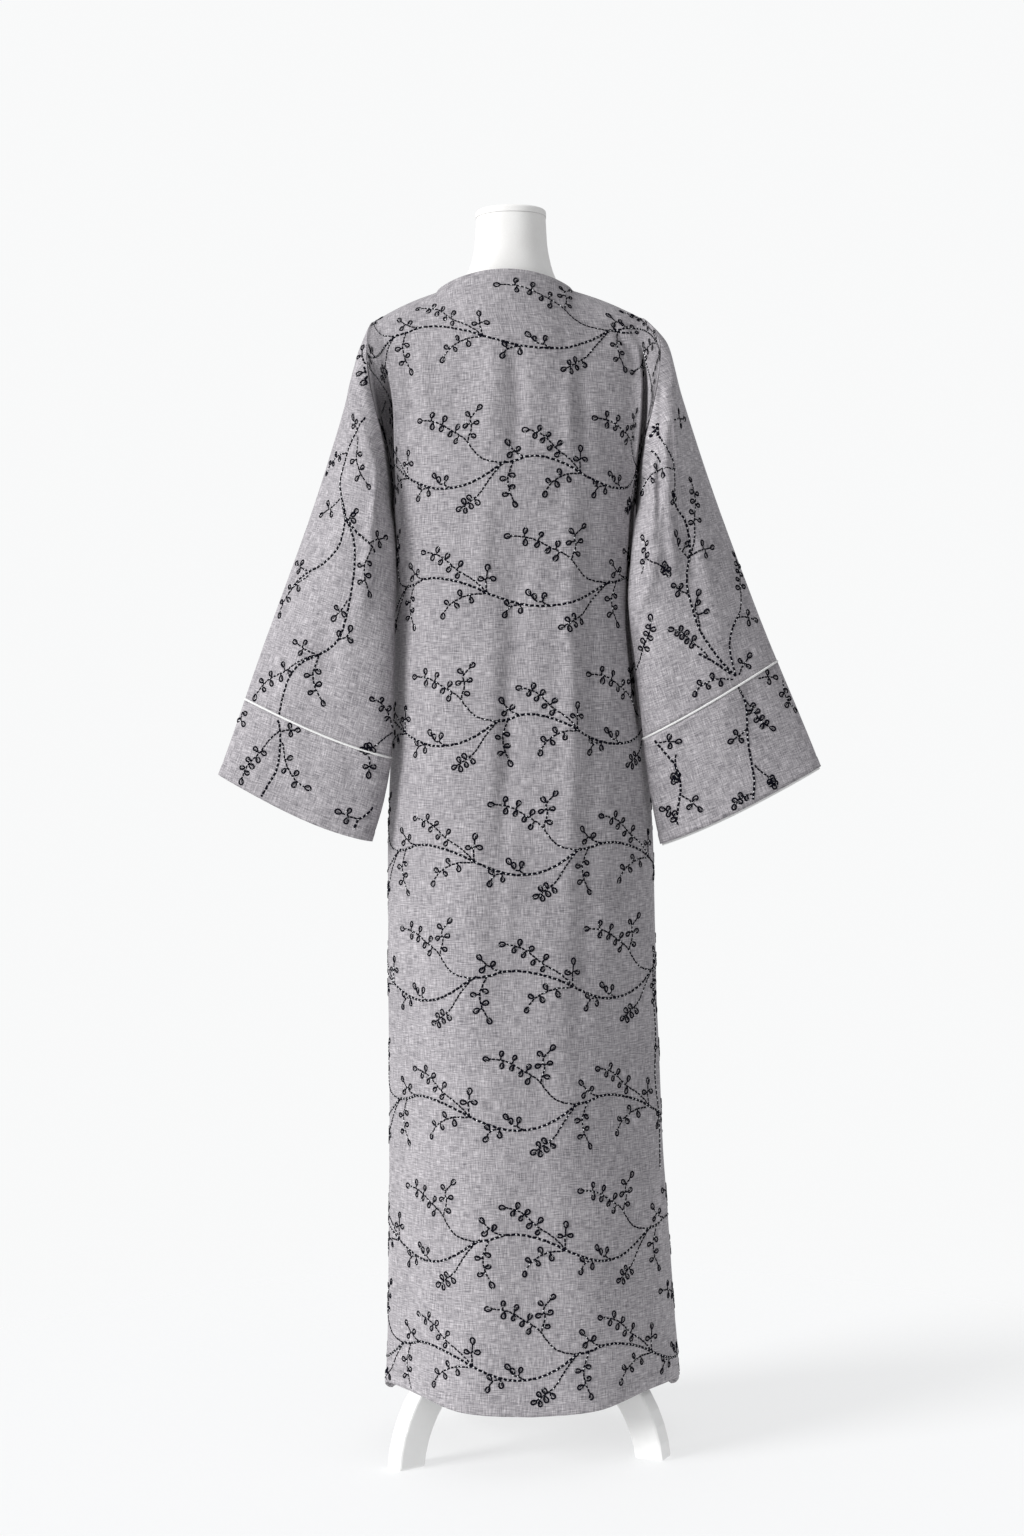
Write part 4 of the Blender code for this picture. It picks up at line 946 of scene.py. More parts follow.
def nearest_cells(flat_across, flat_along, across, along):
    """Rows and columns of the sparse grid points nearest to flat places."""
    rows, columns = flat_across.shape
    rows, columns = [places.ravel() for places in np.mgrid[0:rows:SEARCH_STEP, 0:columns:SEARCH_STEP]]
    known_across = flat_across[rows, columns]
    known_along = flat_along[rows, columns]
    best = np.zeros(len(across), dtype=int)
    for start in range(0, len(across), SEARCH_BATCH):
        batch = slice(start, start + SEARCH_BATCH)
        gaps = (across[batch, None] - known_across) ** 2 + (along[batch, None] - known_along) ** 2
        best[batch] = np.argmin(gaps, axis=1)
    return rows[best].astype(float), columns[best].astype(float)


def mixed(grids, row, column):
    """Values of grids at fractional rows and columns."""
    rows, columns = grids[0].shape
    row = np.clip(row, 0, rows - LAST_CELL)
    column = np.clip(column, 0, columns - LAST_CELL)
    low_row = row.astype(int)
    low_column = column.astype(int)
    down = row - low_row
    over = column - low_column
    values = []
    for grid in grids:
        top = grid[low_row, low_column] * (1 - over) + grid[low_row, low_column + 1] * over
        bottom = grid[low_row + 1, low_column] * (1 - over) + grid[low_row + 1, low_column + 1] * over
        values.append(top * (1 - down) + bottom * down)
    return np.array(values)


def skirt_ups():
    """Places up the skirt, closer together at the hem."""
    hem = np.array(HEM_ROWS) / SKIRT_LENGTH
    return np.concatenate([hem[:-1], np.linspace(hem[-1], 1, SKIRT_ROWS, endpoint=False)])


def softened(grid, ups, middle):
    """The yoke with the sharp lines under its shoulder eased, while its edges stay in place."""
    columns = np.abs(np.arange(grid.shape[1]) - middle)
    weight = smooth_step((ups - SOFT_START) / SOFT_RISE)[:, None]
    weight = (weight * smooth_step((columns - SOFT_COLUMN) / SOFT_COLUMNS))[1:-1, 1:-1, None]
    for _ in range(SOFT_PASSES):
        eased = (grid[:-2, 1:-1] + grid[2:, 1:-1] + grid[1:-1, :-2] + grid[1:-1, 2:]) / 4
        inside = grid[1:-1, 1:-1] + (eased - grid[1:-1, 1:-1]) * weight
        grid = grid.copy()
        grid[1:-1, 1:-1] = inside
    return grid


def finer_at_seam(grid):
    """The grid with closer rows at its top."""
    last = len(grid) - 1
    rows = np.concatenate([np.arange(last - FINE_SEAM_STEPS[0]), last - np.array(FINE_SEAM_STEPS)])
    low = np.minimum(rows.astype(int), last - 1)
    share = (rows - low)[:, None, None]
    return grid[low] * (1 - share) + grid[low + 1] * share


def body_cloth(face, mirrored=False):
    half = half_places(face)
    places = np.concatenate([-half[:0:-1], half]) if face == "back" else half
    skirt = skirt_ups()
    ups = np.concatenate([skirt, np.linspace(1, 2, YOKE_ROWS + 1)])
    grid = np.array([body_column(face, float(place), ups) for place in places]).transpose(1, 0, 2)
    if mirrored:
        grid[:, :, 0] *= -1
    grid = softened(leaned(grid), ups, len(places) // 2 if face == "back" else 0)
    grid = finer_at_seam(grid)
    along = lengths_down(grid)
    along += TURN_HEIGHT - along[len(skirt)]
    across = lengths_across(grid)
    if face == "back":
        across -= across[:, len(places) // 2][:, None]
    outward = np.array([0.0, 1.0 if face == "back" else -1.0, 0.0])
    return Cloth(grid, across, along, outward, wraps=False)


def sleeve_cloth(side, stations):
    """A sleeve's cloth. Its flat place is its distance from the outer fold, back positive, and down it."""
    grid = sleeve_grid(side, stations)
    fold = SLEEVE_AROUND // 2
    line = np.array([float(SLEEVE_OUTER.at("out", CUFF_OUTER_HEIGHT)) - SHOULDER_TIP, 0.0,
                     CUFF_OUTER_HEIGHT - TIP_HEIGHT])
    line /= np.linalg.norm(line)
    if side == "right":
        line[0] *= -1
    along = (grid - grid[0, fold]) @ line
    steps = np.diff(grid, axis=1)
    steps = np.sqrt(np.maximum(np.sum(steps**2, axis=2) - (steps @ line) ** 2, 0.0))
    across = np.concatenate([np.zeros((len(grid), 1)), np.cumsum(steps, axis=1)], axis=1)
    across -= across[:, fold:fold + 1]
    outward = grid - grid.mean(axis=1, keepdims=True)
    return Cloth(sleeve_grid(side, stations, hung=True), across, along, outward, wraps=True)


# Relief of the cloth

def crease_relief(creases, points, wander):
    """Soft ridges and troughs along straight lines as seen from behind, fading at their ends."""
    total = np.zeros(points.shape[:-1])
    left = points[..., 0]
    up = points[..., 2]
    for start_left, start_up, end_left, end_up, half_width, height in creases:
        run = np.array([end_left - start_left, end_up - start_up])
        length = math.hypot(*run)
        run = run / length
        ahead = (left - start_left) * run[0] + (up - start_up) * run[1]
        aside = (left - start_left) * -run[1] + (up - start_up) * run[0]
        share = np.clip(ahead / length, 0.0, 1.0)
        swell = np.sin(math.pi * share) ** CREASE_SWELL_POWER
        sway = wander.at(ahead + start_left, np.full(left.shape, start_up)) * half_width * CREASE_WANDER
        total += height * swell * np.exp(-(((aside - sway) / half_width) ** 2))
    return total


def armhole_hang(points, side, face, sleeve):
    """How far cloth at an armhole lies out from its plain shape, less than 0 where it falls in."""
    slot = ARMHOLE_SLOT[side]
    body_edge, sleeve_edge = SLOT_EDGE[side]
    up = points[..., 2]
    aside = points[..., 0] * (1.0 if side == "left" else -1.0) - slot.at("out", up)
    body_width = slot.at("body", up)
    sleeve_width = slot.at("sleeve", up)
    shape = smooth_step((aside + body_width) / np.minimum(body_edge, body_width))
    shape = shape * smooth_step((sleeve_width - aside) / np.minimum(sleeve_edge, sleeve_width))
    room = np.maximum(np.abs(points[..., 1]) - SLOT_ROOM, 0.0)
    hang = -np.minimum(slot.at("depth", up) * shape, room)
    if sleeve:
        hang = hang + slot.at("ridge", up) * np.exp(
            -(((aside - sleeve_width - RIDGE_PLACE) / RIDGE_HALF_WIDTH) ** 2))
        hang = hang * smooth_step((up - SLOT_SLEEVE_START) / SLOT_SLEEVE_RISE)
    return hang * (1.0 if face == "back" else FRONT_SLOT_SHARE)


def unevenness(seed, across, along):
    """The slight waviness that pressed linen keeps."""
    total = np.zeros(across.shape)
    for step, (cell, height) in enumerate(UNEVENNESS):
        noise = Noise(seed + step, cell)
        total += height * noise.at(across + UNEVENNESS_START, along * LENGTHWISE_STRETCH + UNEVENNESS_START)
    return total


def band_relief(distance, width, height):
    """A turned hem: doubled cloth up to its stitch line, with a pinched line there."""
    raised = height * smooth_step((width - distance) / HEM_STEP + 0.5)
    pinch = HEM_PINCH * np.exp(-(((distance - width) / HEM_PINCH_WIDTH) ** 2))
    return raised - pinch


def wall(name, outer, inner, across, along, wraps, made_of):
    """A thin closed wall between two grids, with the flat cloth's places as its weave."""
    points = np.concatenate([outer.reshape(-1, 3), inner.reshape(-1, 3)])
    flat = np.stack([across, along], axis=-1).reshape(-1, 2)
    faces = sheet_faces(outer.shape[0], outer.shape[1], wraps)
    return new_mesh(name, points, faces, [made_of], weave=np.concatenate([flat, flat]))


def shell(name, node, cloth, made_of, rows=slice(None), inner_limit=None):
    """The cloth as a wall under its outer face, over some or all of its rows, in a solid's place."""
    outer = cloth.points[rows]
    inner = outer - CLOTH_THICKNESS * cloth.normals[rows]
    if inner_limit is not None:
        inner = inner_limit(outer, inner)
    made = wall(name, outer, inner, cloth.across[rows], cloth.along[rows], cloth.wraps, made_of)
    dress(node)
    return made


def seam_limit(sense):
    """Keeps a panel's inner face on its own side of the side seams and armholes."""
    def limit(outer, inner):
        inner[:, :, 1] = sense * np.maximum(sense * inner[:, :, 1], SEAM_GAP / 2)
        middle = CLOTH_LEAN.at("left", outer[-1, :, 2])
        reach = np.minimum(np.abs(inner[-1, :, 0] - middle), np.abs(outer[-1, :, 0] - middle))
        inner[-1, :, 0] = middle + np.sign(outer[-1, :, 0] - middle) * reach
        return inner
    return limit


def panel_relief(name, cloth, creases, from_sides):
    """Creases and unevenness of a body panel, calm at its sides and top, with its turned hem."""
    relief = unevenness(SEEDS[name], cloth.across, cloth.along)
    relief += crease_relief(creases, cloth.points, Noise(SEEDS[name] + WANDER_SEED_STEP, WANDER_CELL))
    calm = smooth_step(from_sides / EDGE_CALM) * smooth_step((cloth.along[-1:] - cloth.along) / EDGE_CALM)
    return relief * calm + band_relief(cloth.along - cloth.along[:1], HEM_WIDTH, HEM_HEIGHT)


def make_back(linen, threads):
    cloth = body_cloth("back")
    from_sides = np.minimum(cloth.across - cloth.across[:, :1], cloth.across[:, -1:] - cloth.across)
    relief = panel_relief("back_cloth", cloth, BACK_CREASES, from_sides)
    for side in ("left", "right"):
        cloth.points[..., 1] += armhole_hang(cloth.points, side, "back", sleeve=False)
    cloth.shaped(relief)
    made = shell("back_cloth", "back_panel", cloth, linen, inner_limit=seam_limit(1.0))
    vine = embroider_body("back_embroidery", cloth, BACK_ROWS, BACK_SIDE_VINE + BACK_ARMHOLE_STEMS,
                          BACK_ARMHOLE_LEAVES, 1.0, threads)
    middle = len(cloth.points[0]) // 2
    neck = slice(middle - NECK_STEPS, middle + NECK_STEPS + 1)
    seams = sew("back_sewing", cloth, [hem_line(cloth, HEM_WIDTH), neck_line(cloth, neck)], threads)


def make_front(side, linen, threads):
    name = "front_cloth_" + side
    cloth = body_cloth("front", mirrored=side == "right")
    from_sides = np.minimum(cloth.across, cloth.across[:, -1:] - cloth.across)
    relief = panel_relief(name, cloth, FRONT_CREASES[side], from_sides)
    relief += band_relief(cloth.across, FACING_WIDTH, HEM_HEIGHT)
    cloth.points[..., 1] -= armhole_hang(cloth.points, side, "front", sleeve=False)
    cloth.shaped(relief)
    made = shell(name, "front_" + side, cloth, linen, inner_limit=seam_limit(-1.0))
    sense = 1.0 if side == "right" else -1.0
    rows = FRONT_ROWS
    if side == "left":
        rows = [(height, -node, -attach) for height, attach, node in FRONT_ROWS]
    vine = embroider_body("front_embroidery_" + side, cloth, rows, [], [], sense, threads)
    neck = slice(0, NECK_STEPS + 1)
    lines = [hem_line(cloth, HEM_WIDTH), edge_line(cloth, FACING_WIDTH), neck_line(cloth, neck)]
    sew("front_sewing_" + side, cloth, lines, threads)


def make_sleeve(side, linen, threads):
    """A sleeve and its cuff band, with flat places that run on from one to the other."""
    clear = length_share(side, PIPING_CLEARANCE)
    fine = [length_share(side, distance) for distance in ARMHOLE_ROWS]
    sleeve_stations = np.linspace(fine[-1], PIPING_PLACE[side] - clear, SLEEVE_ROWS - len(fine) + 1)
    edge_stations = 1 - np.array([length_share(side, distance) for distance in CUFF_EDGE_ROWS])
    cuff_stations = np.linspace(PIPING_PLACE[side] + clear, edge_stations[0], CUFF_ROWS, endpoint=False)
    cloth = sleeve_cloth(side, np.concatenate([fine[:-1], sleeve_stations, cuff_stations, edge_stations]))
    relief = unevenness(SEEDS["sleeve_cloth_" + side], cloth.across, cloth.along)
    on_back = np.sin(sleeve_turns()) >= 0
    wander = Noise(SEEDS["sleeve_creases"], SLEEVE_WANDER_CELL)
    for face, seen in (("back", on_back), ("front", ~on_back)):
        relief += np.where(seen, crease_relief(SLEEVE_CREASES[side][face], cloth.points, wander), 0.0)
    turns = np.abs(np.sin(sleeve_turns()))[None, :]
    down = lengths_down(cloth.points)
    seam = down[SLEEVE_ROWS - 1:SLEEVE_ROWS + 1].mean(axis=0)
    calm = smooth_step(turns / FOLD_CALM) * smooth_step(down / EDGE_CALM)
    calm = calm * smooth_step(np.abs(down - seam) / EDGE_CALM + SEAM_CALM_START)
    relief = relief * calm + band_relief(down[-1:] - down, CUFF_HEM_WIDTH, HEM_HEIGHT)
    cloth.points[..., 1] += np.where(on_back, armhole_hang(cloth.points, side, "back", sleeve=True),
                                     -armhole_hang(cloth.points, side, "front", sleeve=True))
    cloth.shaped(relief)
    vine = embroider_sleeve(side, cloth, threads)
    seams = sew("cuff_sewing_" + side, cloth, [cuff_line(cloth, CUFF_HEM_WIDTH)], threads)
    for name, node, rows, on_it in (("sleeve_cloth_", "sleeve_", slice(0, SLEEVE_ROWS), vine),
                                    ("cuff_cloth_", "cuff_", slice(SLEEVE_ROWS, None), seams)):
        shell(name + side, node + side, cloth, linen, rows=rows)
    return cloth


def make_piping(side, cloth, cord):
    """A thin round cord between a sleeve and its cuff."""
    upper = cloth.points[SLEEVE_ROWS - 1]
    lower = cloth.points[SLEEVE_ROWS]
    normals = unit(cloth.normals[SLEEVE_ROWS - 1] + cloth.normals[SLEEVE_ROWS])
    along = unit(lower - upper)
    centres = (upper + lower) / 2 - PIPING_DEPTH * normals
    rings = []
    for step in range(PIPING_SIDES):
        angle = 2 * math.pi * step / PIPING_SIDES
        rings.append(centres + PIPING_RADIUS * (math.cos(angle) * normals + math.sin(angle) * along))
    count = len(centres)
    across = np.tile(cloth.across[SLEEVE_ROWS - 1], PIPING_SIDES)
    weave = np.stack([across, np.repeat(np.arange(PIPING_SIDES) * 1.0, count)], axis=-1)
    made = new_mesh("piping_cord_" + side, np.concatenate(rings), round_faces(PIPING_SIDES, count), [cord],
                    weave=weave)
    dress("piping_" + side)


def make_edging(side, white):
    """The white strip inside a cuff that shows just below its edge."""
    stations = np.linspace(1 - length_share(side, EDGING_HEIGHT), 1.0, EDGING_ROWS)
    grid = sleeve_grid(side, stations, hung=True)
    step = (grid[-1] - grid[-2]) * EDGING_SHOW / (EDGING_HEIGHT / (EDGING_ROWS - 1))
    grid = np.concatenate([grid, (grid[-1] + step)[None]])
    normals = grid_normals(grid, True, grid - grid.mean(axis=1, keepdims=True))
    outer = grid - (CLOTH_THICKNESS + EDGING_GAP) * normals
    inner = outer - EDGING_WALL * normals
    made = wall("edging_strip_" + side, outer, inner, lengths_across(grid), lengths_down(grid), True, white)
    dress("cuff_edging_" + side)


# Embroidery and sewing

class Stitching:
    """Stitches on flat cloth, gathered and then laid on its surface as one mesh."""

    def __init__(self, name):
        self.name = name
        self.random = np.random.default_rng(SEEDS[name])
        self.bars = []
        self.rings = []

    def bar(self, start, end, width, height, kind=NAVY):
        self.bars.append((*start, *end, width, height, kind))

    # A fleck of metal thread. Its near-white colour is partly a painted highlight.
    def glint(self, middle, run, width, height):
        reach = run * GLINT_LENGTH / 2
        self.bar(middle - reach, middle + reach, width, height * GLINT_LIFT, SILVER_AND_PAINTED_GLINT)

    def line(self, curve, stitch, gap, width, glints=0.0, sway=STITCH_SWAY, height=THREAD_HEIGHT,
             kind=NAVY):
        """A running line of stitches along a curve, some of them followed by a glint: a fleck of metal
        thread whose near-white colour is partly a painted highlight.
        """
        lengths = np.concatenate([[0.0], np.cumsum(np.linalg.norm(np.diff(curve, axis=0), axis=1))])
        at = gap / 2
        side = 1.0
        while at < lengths[-1] - stitch * LAST_STITCH_SHARE:
            end = min(at + stitch * self.random.uniform(*STITCH_LENGTHS), lengths[-1])
            ends = [np.array([np.interp(spot, lengths, curve[:, axis]) for axis in (0, 1)])
                    for spot in (at, end)]
            run = (ends[1] - ends[0]) / max(np.linalg.norm(ends[1] - ends[0]), TINY)
            aside = np.array([-run[1], run[0]]) * sway * width
            self.bar(ends[0] + aside * side, ends[1] - aside * side, width, height, kind)
            if self.random.random() < glints:
                self.glint(ends[1] + run * gap / 2, run, GLINT_WIDTH, height)
            at = end + gap * self.random.uniform(*STITCH_GAPS)
            side = -side

    def stem(self, points):
        self.line(smooth_line(points), STEM_STITCH, STEM_GAP, STEM_WIDTH, glints=STEM_GLINTS)

    def leaf(self, centre, heading, size):
        """A loop of thread that curls in on itself, with a small glint of metal thread whose near-white
        colour is partly a painted highlight.
        """
        turn = self.random.uniform(-LEAF_TURN, LEAF_TURN)
        heading = np.array([heading[0] * math.cos(turn) - heading[1] * math.sin(turn),
                            heading[0] * math.sin(turn) + heading[1] * math.cos(turn)])
        aside = np.array([-heading[1], heading[0]]) * (1.0 if self.random.random() < 0.5 else -1.0)
        size = size * self.random.uniform(*LEAF_SIZES)
        self.rings.append((*centre, *heading, size))
        start = centre - heading * CURL_LENGTH * CURL_BACK_SHARE * size + aside * CURL_ASIDE
        end = centre + heading * CURL_LENGTH * CURL_AHEAD_SHARE * size + aside * CURL_ASIDE
        self.bar(start, end, CURL_WIDTH * size, THREAD_HEIGHT * CURL_HEIGHT_SHARE)
        if self.random.random() < LEAF_GLINT_SHARE:
            spin = self.random.uniform(0, 2 * math.pi)
            along = (LEAF_LENGTH - LEAF_STROKE) / 2 * size
            over = (LEAF_WIDTH - LEAF_STROKE) / 2 * size
            middle = centre + heading * along * math.cos(spin) + aside * over * math.sin(spin)
            run = -heading * math.sin(spin) + aside * math.cos(spin)
            self.glint(middle, run, GLINT_WIDTH * LEAF_GLINT_WIDTH_SHARE, THREAD_HEIGHT)

    def sprig(self, stem, leaves):
        curve = smooth_line(stem)
        self.line(curve, SPRIG_STITCH, SPRIG_GAP, SPRIG_WIDTH, glints=SPRIG_GLINTS)
        for number, leaf in enumerate(leaves):
            gaps = np.linalg.norm(curve - leaf, axis=1)
            root = curve[np.argmin(gaps)]
            reach = max(np.min(gaps), TINY)
            heading = (leaf - root) / reach
            self.leaf(leaf, heading, TIP_LEAF_SIZE if number == len(leaves) - 1 else 1.0)
            stalk = reach - LEAF_LENGTH / 2
            if stalk > STALK_OVERLAP:
                self.bar(root, root + heading * (stalk + STALK_OVERLAP), SPRIG_WIDTH * STALK_WIDTH_SHARE,
                         THREAD_HEIGHT)

    def build(self, cloth, materials):
        """Lays the stitches on the cloth, without those that reach past its edges."""
        gathered = []
        first_point = first_stitch = 0
        for flat, faces, kinds in [self.bar_spots()] + ([self.ring_spots()] if self.rings else []):
            count, size = flat.shape[:2]
            starts = first_point + np.arange(count) * size
            owners = np.repeat(first_stitch + np.arange(count), size)
            gathered.append((flat.reshape(-1, 3), (faces + starts[:, None, None]).reshape(-1, 3),
                             np.repeat(kinds, len(faces)), owners))
            first_point += count * size
            first_stitch += count
        spots, faces, kinds, owners = [np.concatenate(parts) for parts in zip(*gathered)]
        points, on_cloth = cloth.place(spots)
        lost = np.zeros(first_stitch, dtype=bool)
        np.logical_or.at(lost, owners, ~on_cloth)
        keep = ~lost[owners]
        kept = keep[faces[:, 0]]
        place = np.cumsum(keep) - 1
        return new_mesh(self.name, points[keep], place[faces[kept]], materials, slots=kinds[kept])

    def bar_spots(self):
        """Bars as low ridges with tapered ends: flat places with lifts, one bar's faces, and kinds."""
        bars = np.array(self.bars, dtype=float)
        run = bars[:, 2:4] - bars[:, :2]
        aside = np.stack([-run[:, 1], run[:, 0]], axis=1)
        aside /= np.maximum(np.linalg.norm(aside, axis=1, keepdims=True), TINY)
        stations = np.array(BAR_STATIONS)
        count, corners = len(stations), len(BAR_CORNERS)
        middle = bars[:, None, :2] + run[:, None, :] * stations[None, :, 0, None]
        half = bars[:, 4, None] / 2 * stations[None, :, 1]
        height = bars[:, 5, None] * stations[None, :, 1]
        flat = np.zeros((len(bars), count, corners, 3))
        for corner, (side, lift) in enumerate(BAR_CORNERS):
            flat[:, :, corner, :2] = middle + side * half[:, :, None] * aside[:, None, :]
            flat[:, :, corner, 2] = height * lift if lift > 0 else lift
        last = corners * (count - 1)
        faces = triangles(grid_faces(count, corners, 0, wraps=True))
        faces = np.concatenate([faces, [[2, 1, 0], [last, last + 1, last + 2]]])
        return flat.reshape(len(bars), -1, 3), faces, bars[:, 6].astype(int)

    def ring_spots(self):
        """Leaf loops: flat places with lifts, one loop's faces, and kinds."""
        rings = np.array(self.rings)
        turns = np.linspace(0, 2 * math.pi, LEAF_SIDES, endpoint=False)
        heading = rings[:, 2:4]
        aside = np.stack([-heading[:, 1], heading[:, 0]], axis=1)
        size = rings[:, 4, None]
        corners = len(BAR_CORNERS)
        flat = np.zeros((len(rings), LEAF_SIDES, corners, 3))
        for corner, (side, lift) in enumerate(BAR_CORNERS):
            grow = side * LEAF_STROKE / 2
            ahead = ((LEAF_LENGTH - LEAF_STROKE) / 2 * size + grow) * np.cos(turns)
            over = ((LEAF_WIDTH - LEAF_STROKE) / 2 * size + grow) * np.sin(turns)
            over = over * (1 + LEAF_EGG * np.cos(turns))
            flat[:, :, corner, :2] = (rings[:, None, 0:2] + ahead[:, :, None] * heading[:, None, :]
                                      + over[:, :, None] * aside[:, None, :])
            flat[:, :, corner, 2] = THREAD_HEIGHT * lift if lift > 0 else lift
        kinds = np.full(len(rings), NAVY)
        return flat.reshape(len(rings), -1, 3), triangles(round_faces(LEAF_SIDES, corners)), kinds


def smooth_line(points):
    """A smooth curve through points, as closely spaced places."""
    points = np.array(points, dtype=float)
    padded = np.concatenate([2 * points[:1] - points[1:2], points, 2 * points[-1:] - points[-2:-1]])
    curve = []
    for before, start, end, after in zip(padded, padded[1:], padded[2:], padded[3:]):
        for share in np.linspace(0, 1, CURVE_STEPS, endpoint=False):
            curve.append(0.5 * (2 * start + (end - before) * share
                                + (2 * before - 5 * start + 4 * end - after) * share**2
                                + (3 * start - before - 3 * end + after) * share**3))
    return np.array(curve + [points[-1]])


def row_place(row, points, shift, sense):
    """Places on the cloth of points of the repeat, stretched to the row's two known places."""
    height, attach, node = row
    node_ahead = VINE_NODE if node > attach else VINE_NODE - VINE_REPEAT
    ahead, up = np.array(points, dtype=float).T
    ahead = ahead + shift
    inside = np.clip(ahead, min(0.0, node_ahead), max(0.0, node_ahead))
    rate = (node - attach) / node_ahead
    across = attach + inside * rate + (ahead - inside)
    return np.stack([across * sense, height + up], axis=-1)


def vine_rows(stitching, rows, reach, sense):
    """As many repeats of the vine in each row as reach the cloth."""
    for row in rows:
        for repeat in (-2, -1, 0, 1):
            shift = repeat * VINE_REPEAT
            spots = row_place(row, VINE, shift, sense)
            if spots[:, 0].min() > reach[1] or spots[:, 0].max() < reach[0]:
                continue
            stitching.stem(spots)
            for parts in SPRIGS.values():
                stitching.sprig(*[row_place(row, part, shift, sense) for part in parts])


def moved_sprig(name, base, tip, mirrored):
    """A sprig turned and scaled so that its stem's start and its tip leaf lie where asked."""
    stem, leaves = SPRIGS[name]
    spots = np.array(stem + leaves, dtype=float)
    spots = spots[:, 0] + 1j * spots[:, 1]
    if mirrored:
        spots = spots.conj()
    start, end = spots[0], spots[-1]
    base, tip = complex(*base), complex(*tip)
    spots = base + (spots - start) * (tip - base) / (end - start)
    spots = np.stack([spots.real, spots.imag], axis=-1)
    return spots[:len(stem)], spots[len(stem):]


def embroider_sleeve(side, cloth, threads):
    stitching = Stitching("sleeve_embroidery_" + side)
    for face in (1.0, -1.0):
        for stem in SLEEVE_STEMS[side]:
            stitching.stem(np.array(stem, dtype=float) * (face, 1.0))
        for name, base, tip in SLEEVE_SPRIGS[side]:
            mirrored = (side == "right") != (face < 0)
            base = (base[0] * face, base[1])
            tip = (tip[0] * face, tip[1])
            stitching.sprig(*moved_sprig(name, base, tip, mirrored))
    return stitching.build(cloth, threads)


def embroider_body(name, cloth, rows, stems, leaves, sense, threads):
    stitching = Stitching(name)
    vine_rows(stitching, rows, (cloth.across.min(), cloth.across.max()), sense)
    for stem in stems:
        stitching.stem(stem)
    for centre, heading in leaves:
        stitching.leaf(np.array(centre, dtype=float), np.array(heading) / math.hypot(*heading), 1.0)
    return stitching.build(cloth, threads)


def hem_line(cloth, width):
    """Flat places a hem's width above a panel's lower edge."""
    along = cloth.along[0] + width
    across = [np.interp(place, cloth.along[:, column], cloth.across[:, column])
              for column, place in enumerate(along)]
    return np.stack([across, along], axis=-1)


def edge_line(cloth, width):
    """Flat places a facing's width in from a front panel's open edge."""
    return np.stack([np.full(len(cloth.along), width), cloth.along[:, 0]], axis=-1)


def neck_line(cloth, columns):
    return np.stack([cloth.across[-1, columns], cloth.along[-1, columns] - NECK_STITCH_DEPTH], axis=-1)


def cuff_line(cloth, width):
    """Flat places a hem's width above a cuff's edge, all round it."""
    points, _, *flat = cloth.closed()
    down = lengths_down(points)
    return np.array([[np.interp(place, down[:, column], grid[:, column]) for grid in flat]
                     for column, place in enumerate(down[-1] - width)])


def sew(name, cloth, lines, threads):
    """Fine machine stitches along lines on the flat cloth."""
    stitching = Stitching(name)
    for line in lines:
        stitching.line(line, SEWING_STITCH, SEWING_GAP, SEWING_WIDTH, sway=0.0, height=SEWING_HEIGHT,
                       kind=SEWING)
    return stitching.build(cloth, threads)


# Dress form and stand

def torso_ring(height, grow=0.0):
    half_width = float(TORSO.at("half_width", height)) + grow
    turns = np.linspace(0, 2 * math.pi, TORSO_AROUND, endpoint=False)
    power = 2 / TORSO_ROUNDNESS
    depth = np.where(np.sin(turns) >= 0, float(TORSO.at("back_depth", height)),
                     float(TORSO.at("front_depth", height))) + grow
    out = half_width * np.sign(np.cos(turns)) * np.abs(np.cos(turns)) ** power
    back = depth * np.sign(np.sin(turns)) * np.abs(np.sin(turns)) ** power
    lean = float(FORM_LEAN.at("left", height))
    return np.stack([lean + out, back, np.full(TORSO_AROUND, height)], axis=-1)


def lofted(name, rings, made_of, node):
    """A closed solid of the form over level rings, with a weave that runs round and up it."""
    grid = np.array(rings)
    rows, columns = grid.shape[:2]
    middles = grid[[0, -1]].mean(axis=1)
    faces = grid_faces(rows, columns, 0, wraps=True).tolist()
    low, high = rows * columns, rows * columns + 1
    last = (rows - 1) * columns
    for column in range(columns):
        after = (column + 1) % columns
        faces.append((after, column, low))
        faces.append((last + column, last + after, high))
    across = lengths_across(wrapped(grid))[:, :-1]
    flat = np.concatenate([np.stack([across, grid[:, :, 2]], axis=-1).reshape(-1, 2), np.zeros((2, 2))])
    made = new_mesh(name, np.concatenate([grid.reshape(-1, 3), middles]), faces, [made_of],
                    smooth_angle=FORM_SMOOTH_ANGLE, weave=flat)
    dress(node)


def make_form(jersey, cap_knit):
    bottom, top = float(TORSO.keys[0]), float(TORSO.keys[-1])
    heights = np.linspace(bottom, top, TORSO_ROWS)
    lofted("torso_cover", [torso_ring(height) for height in heights], jersey, "form_torso")
    levels = [(top + FORM_GAP, CAP_OVERHANG)]
    levels += [(CAP_TOP_HEIGHT - CAP_ROUNDING + CAP_ROUNDING * math.sin(angle),
                CAP_OVERHANG - CAP_ROUNDING * (1 - math.cos(angle)))
               for angle in np.linspace(0, math.pi / 2, CAP_ROUND_STEPS)]
    cap = []
    for height, grow in levels:
        ring = torso_ring(top, grow)
        ring[:, 2] = height
        cap.append(ring)
    lofted("neck_cap_cover", cap, cap_knit, "neck_cap")


def dress_stand(paint, metal):
    """The stand's solids keep their shape and get their painted finish."""
    for name in ("hub", "leg_1", "leg_2", "leg_3"):
        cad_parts[name].material_slots[0].material = paint
    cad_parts["pole"].material_slots[0].material = metal


# Materials

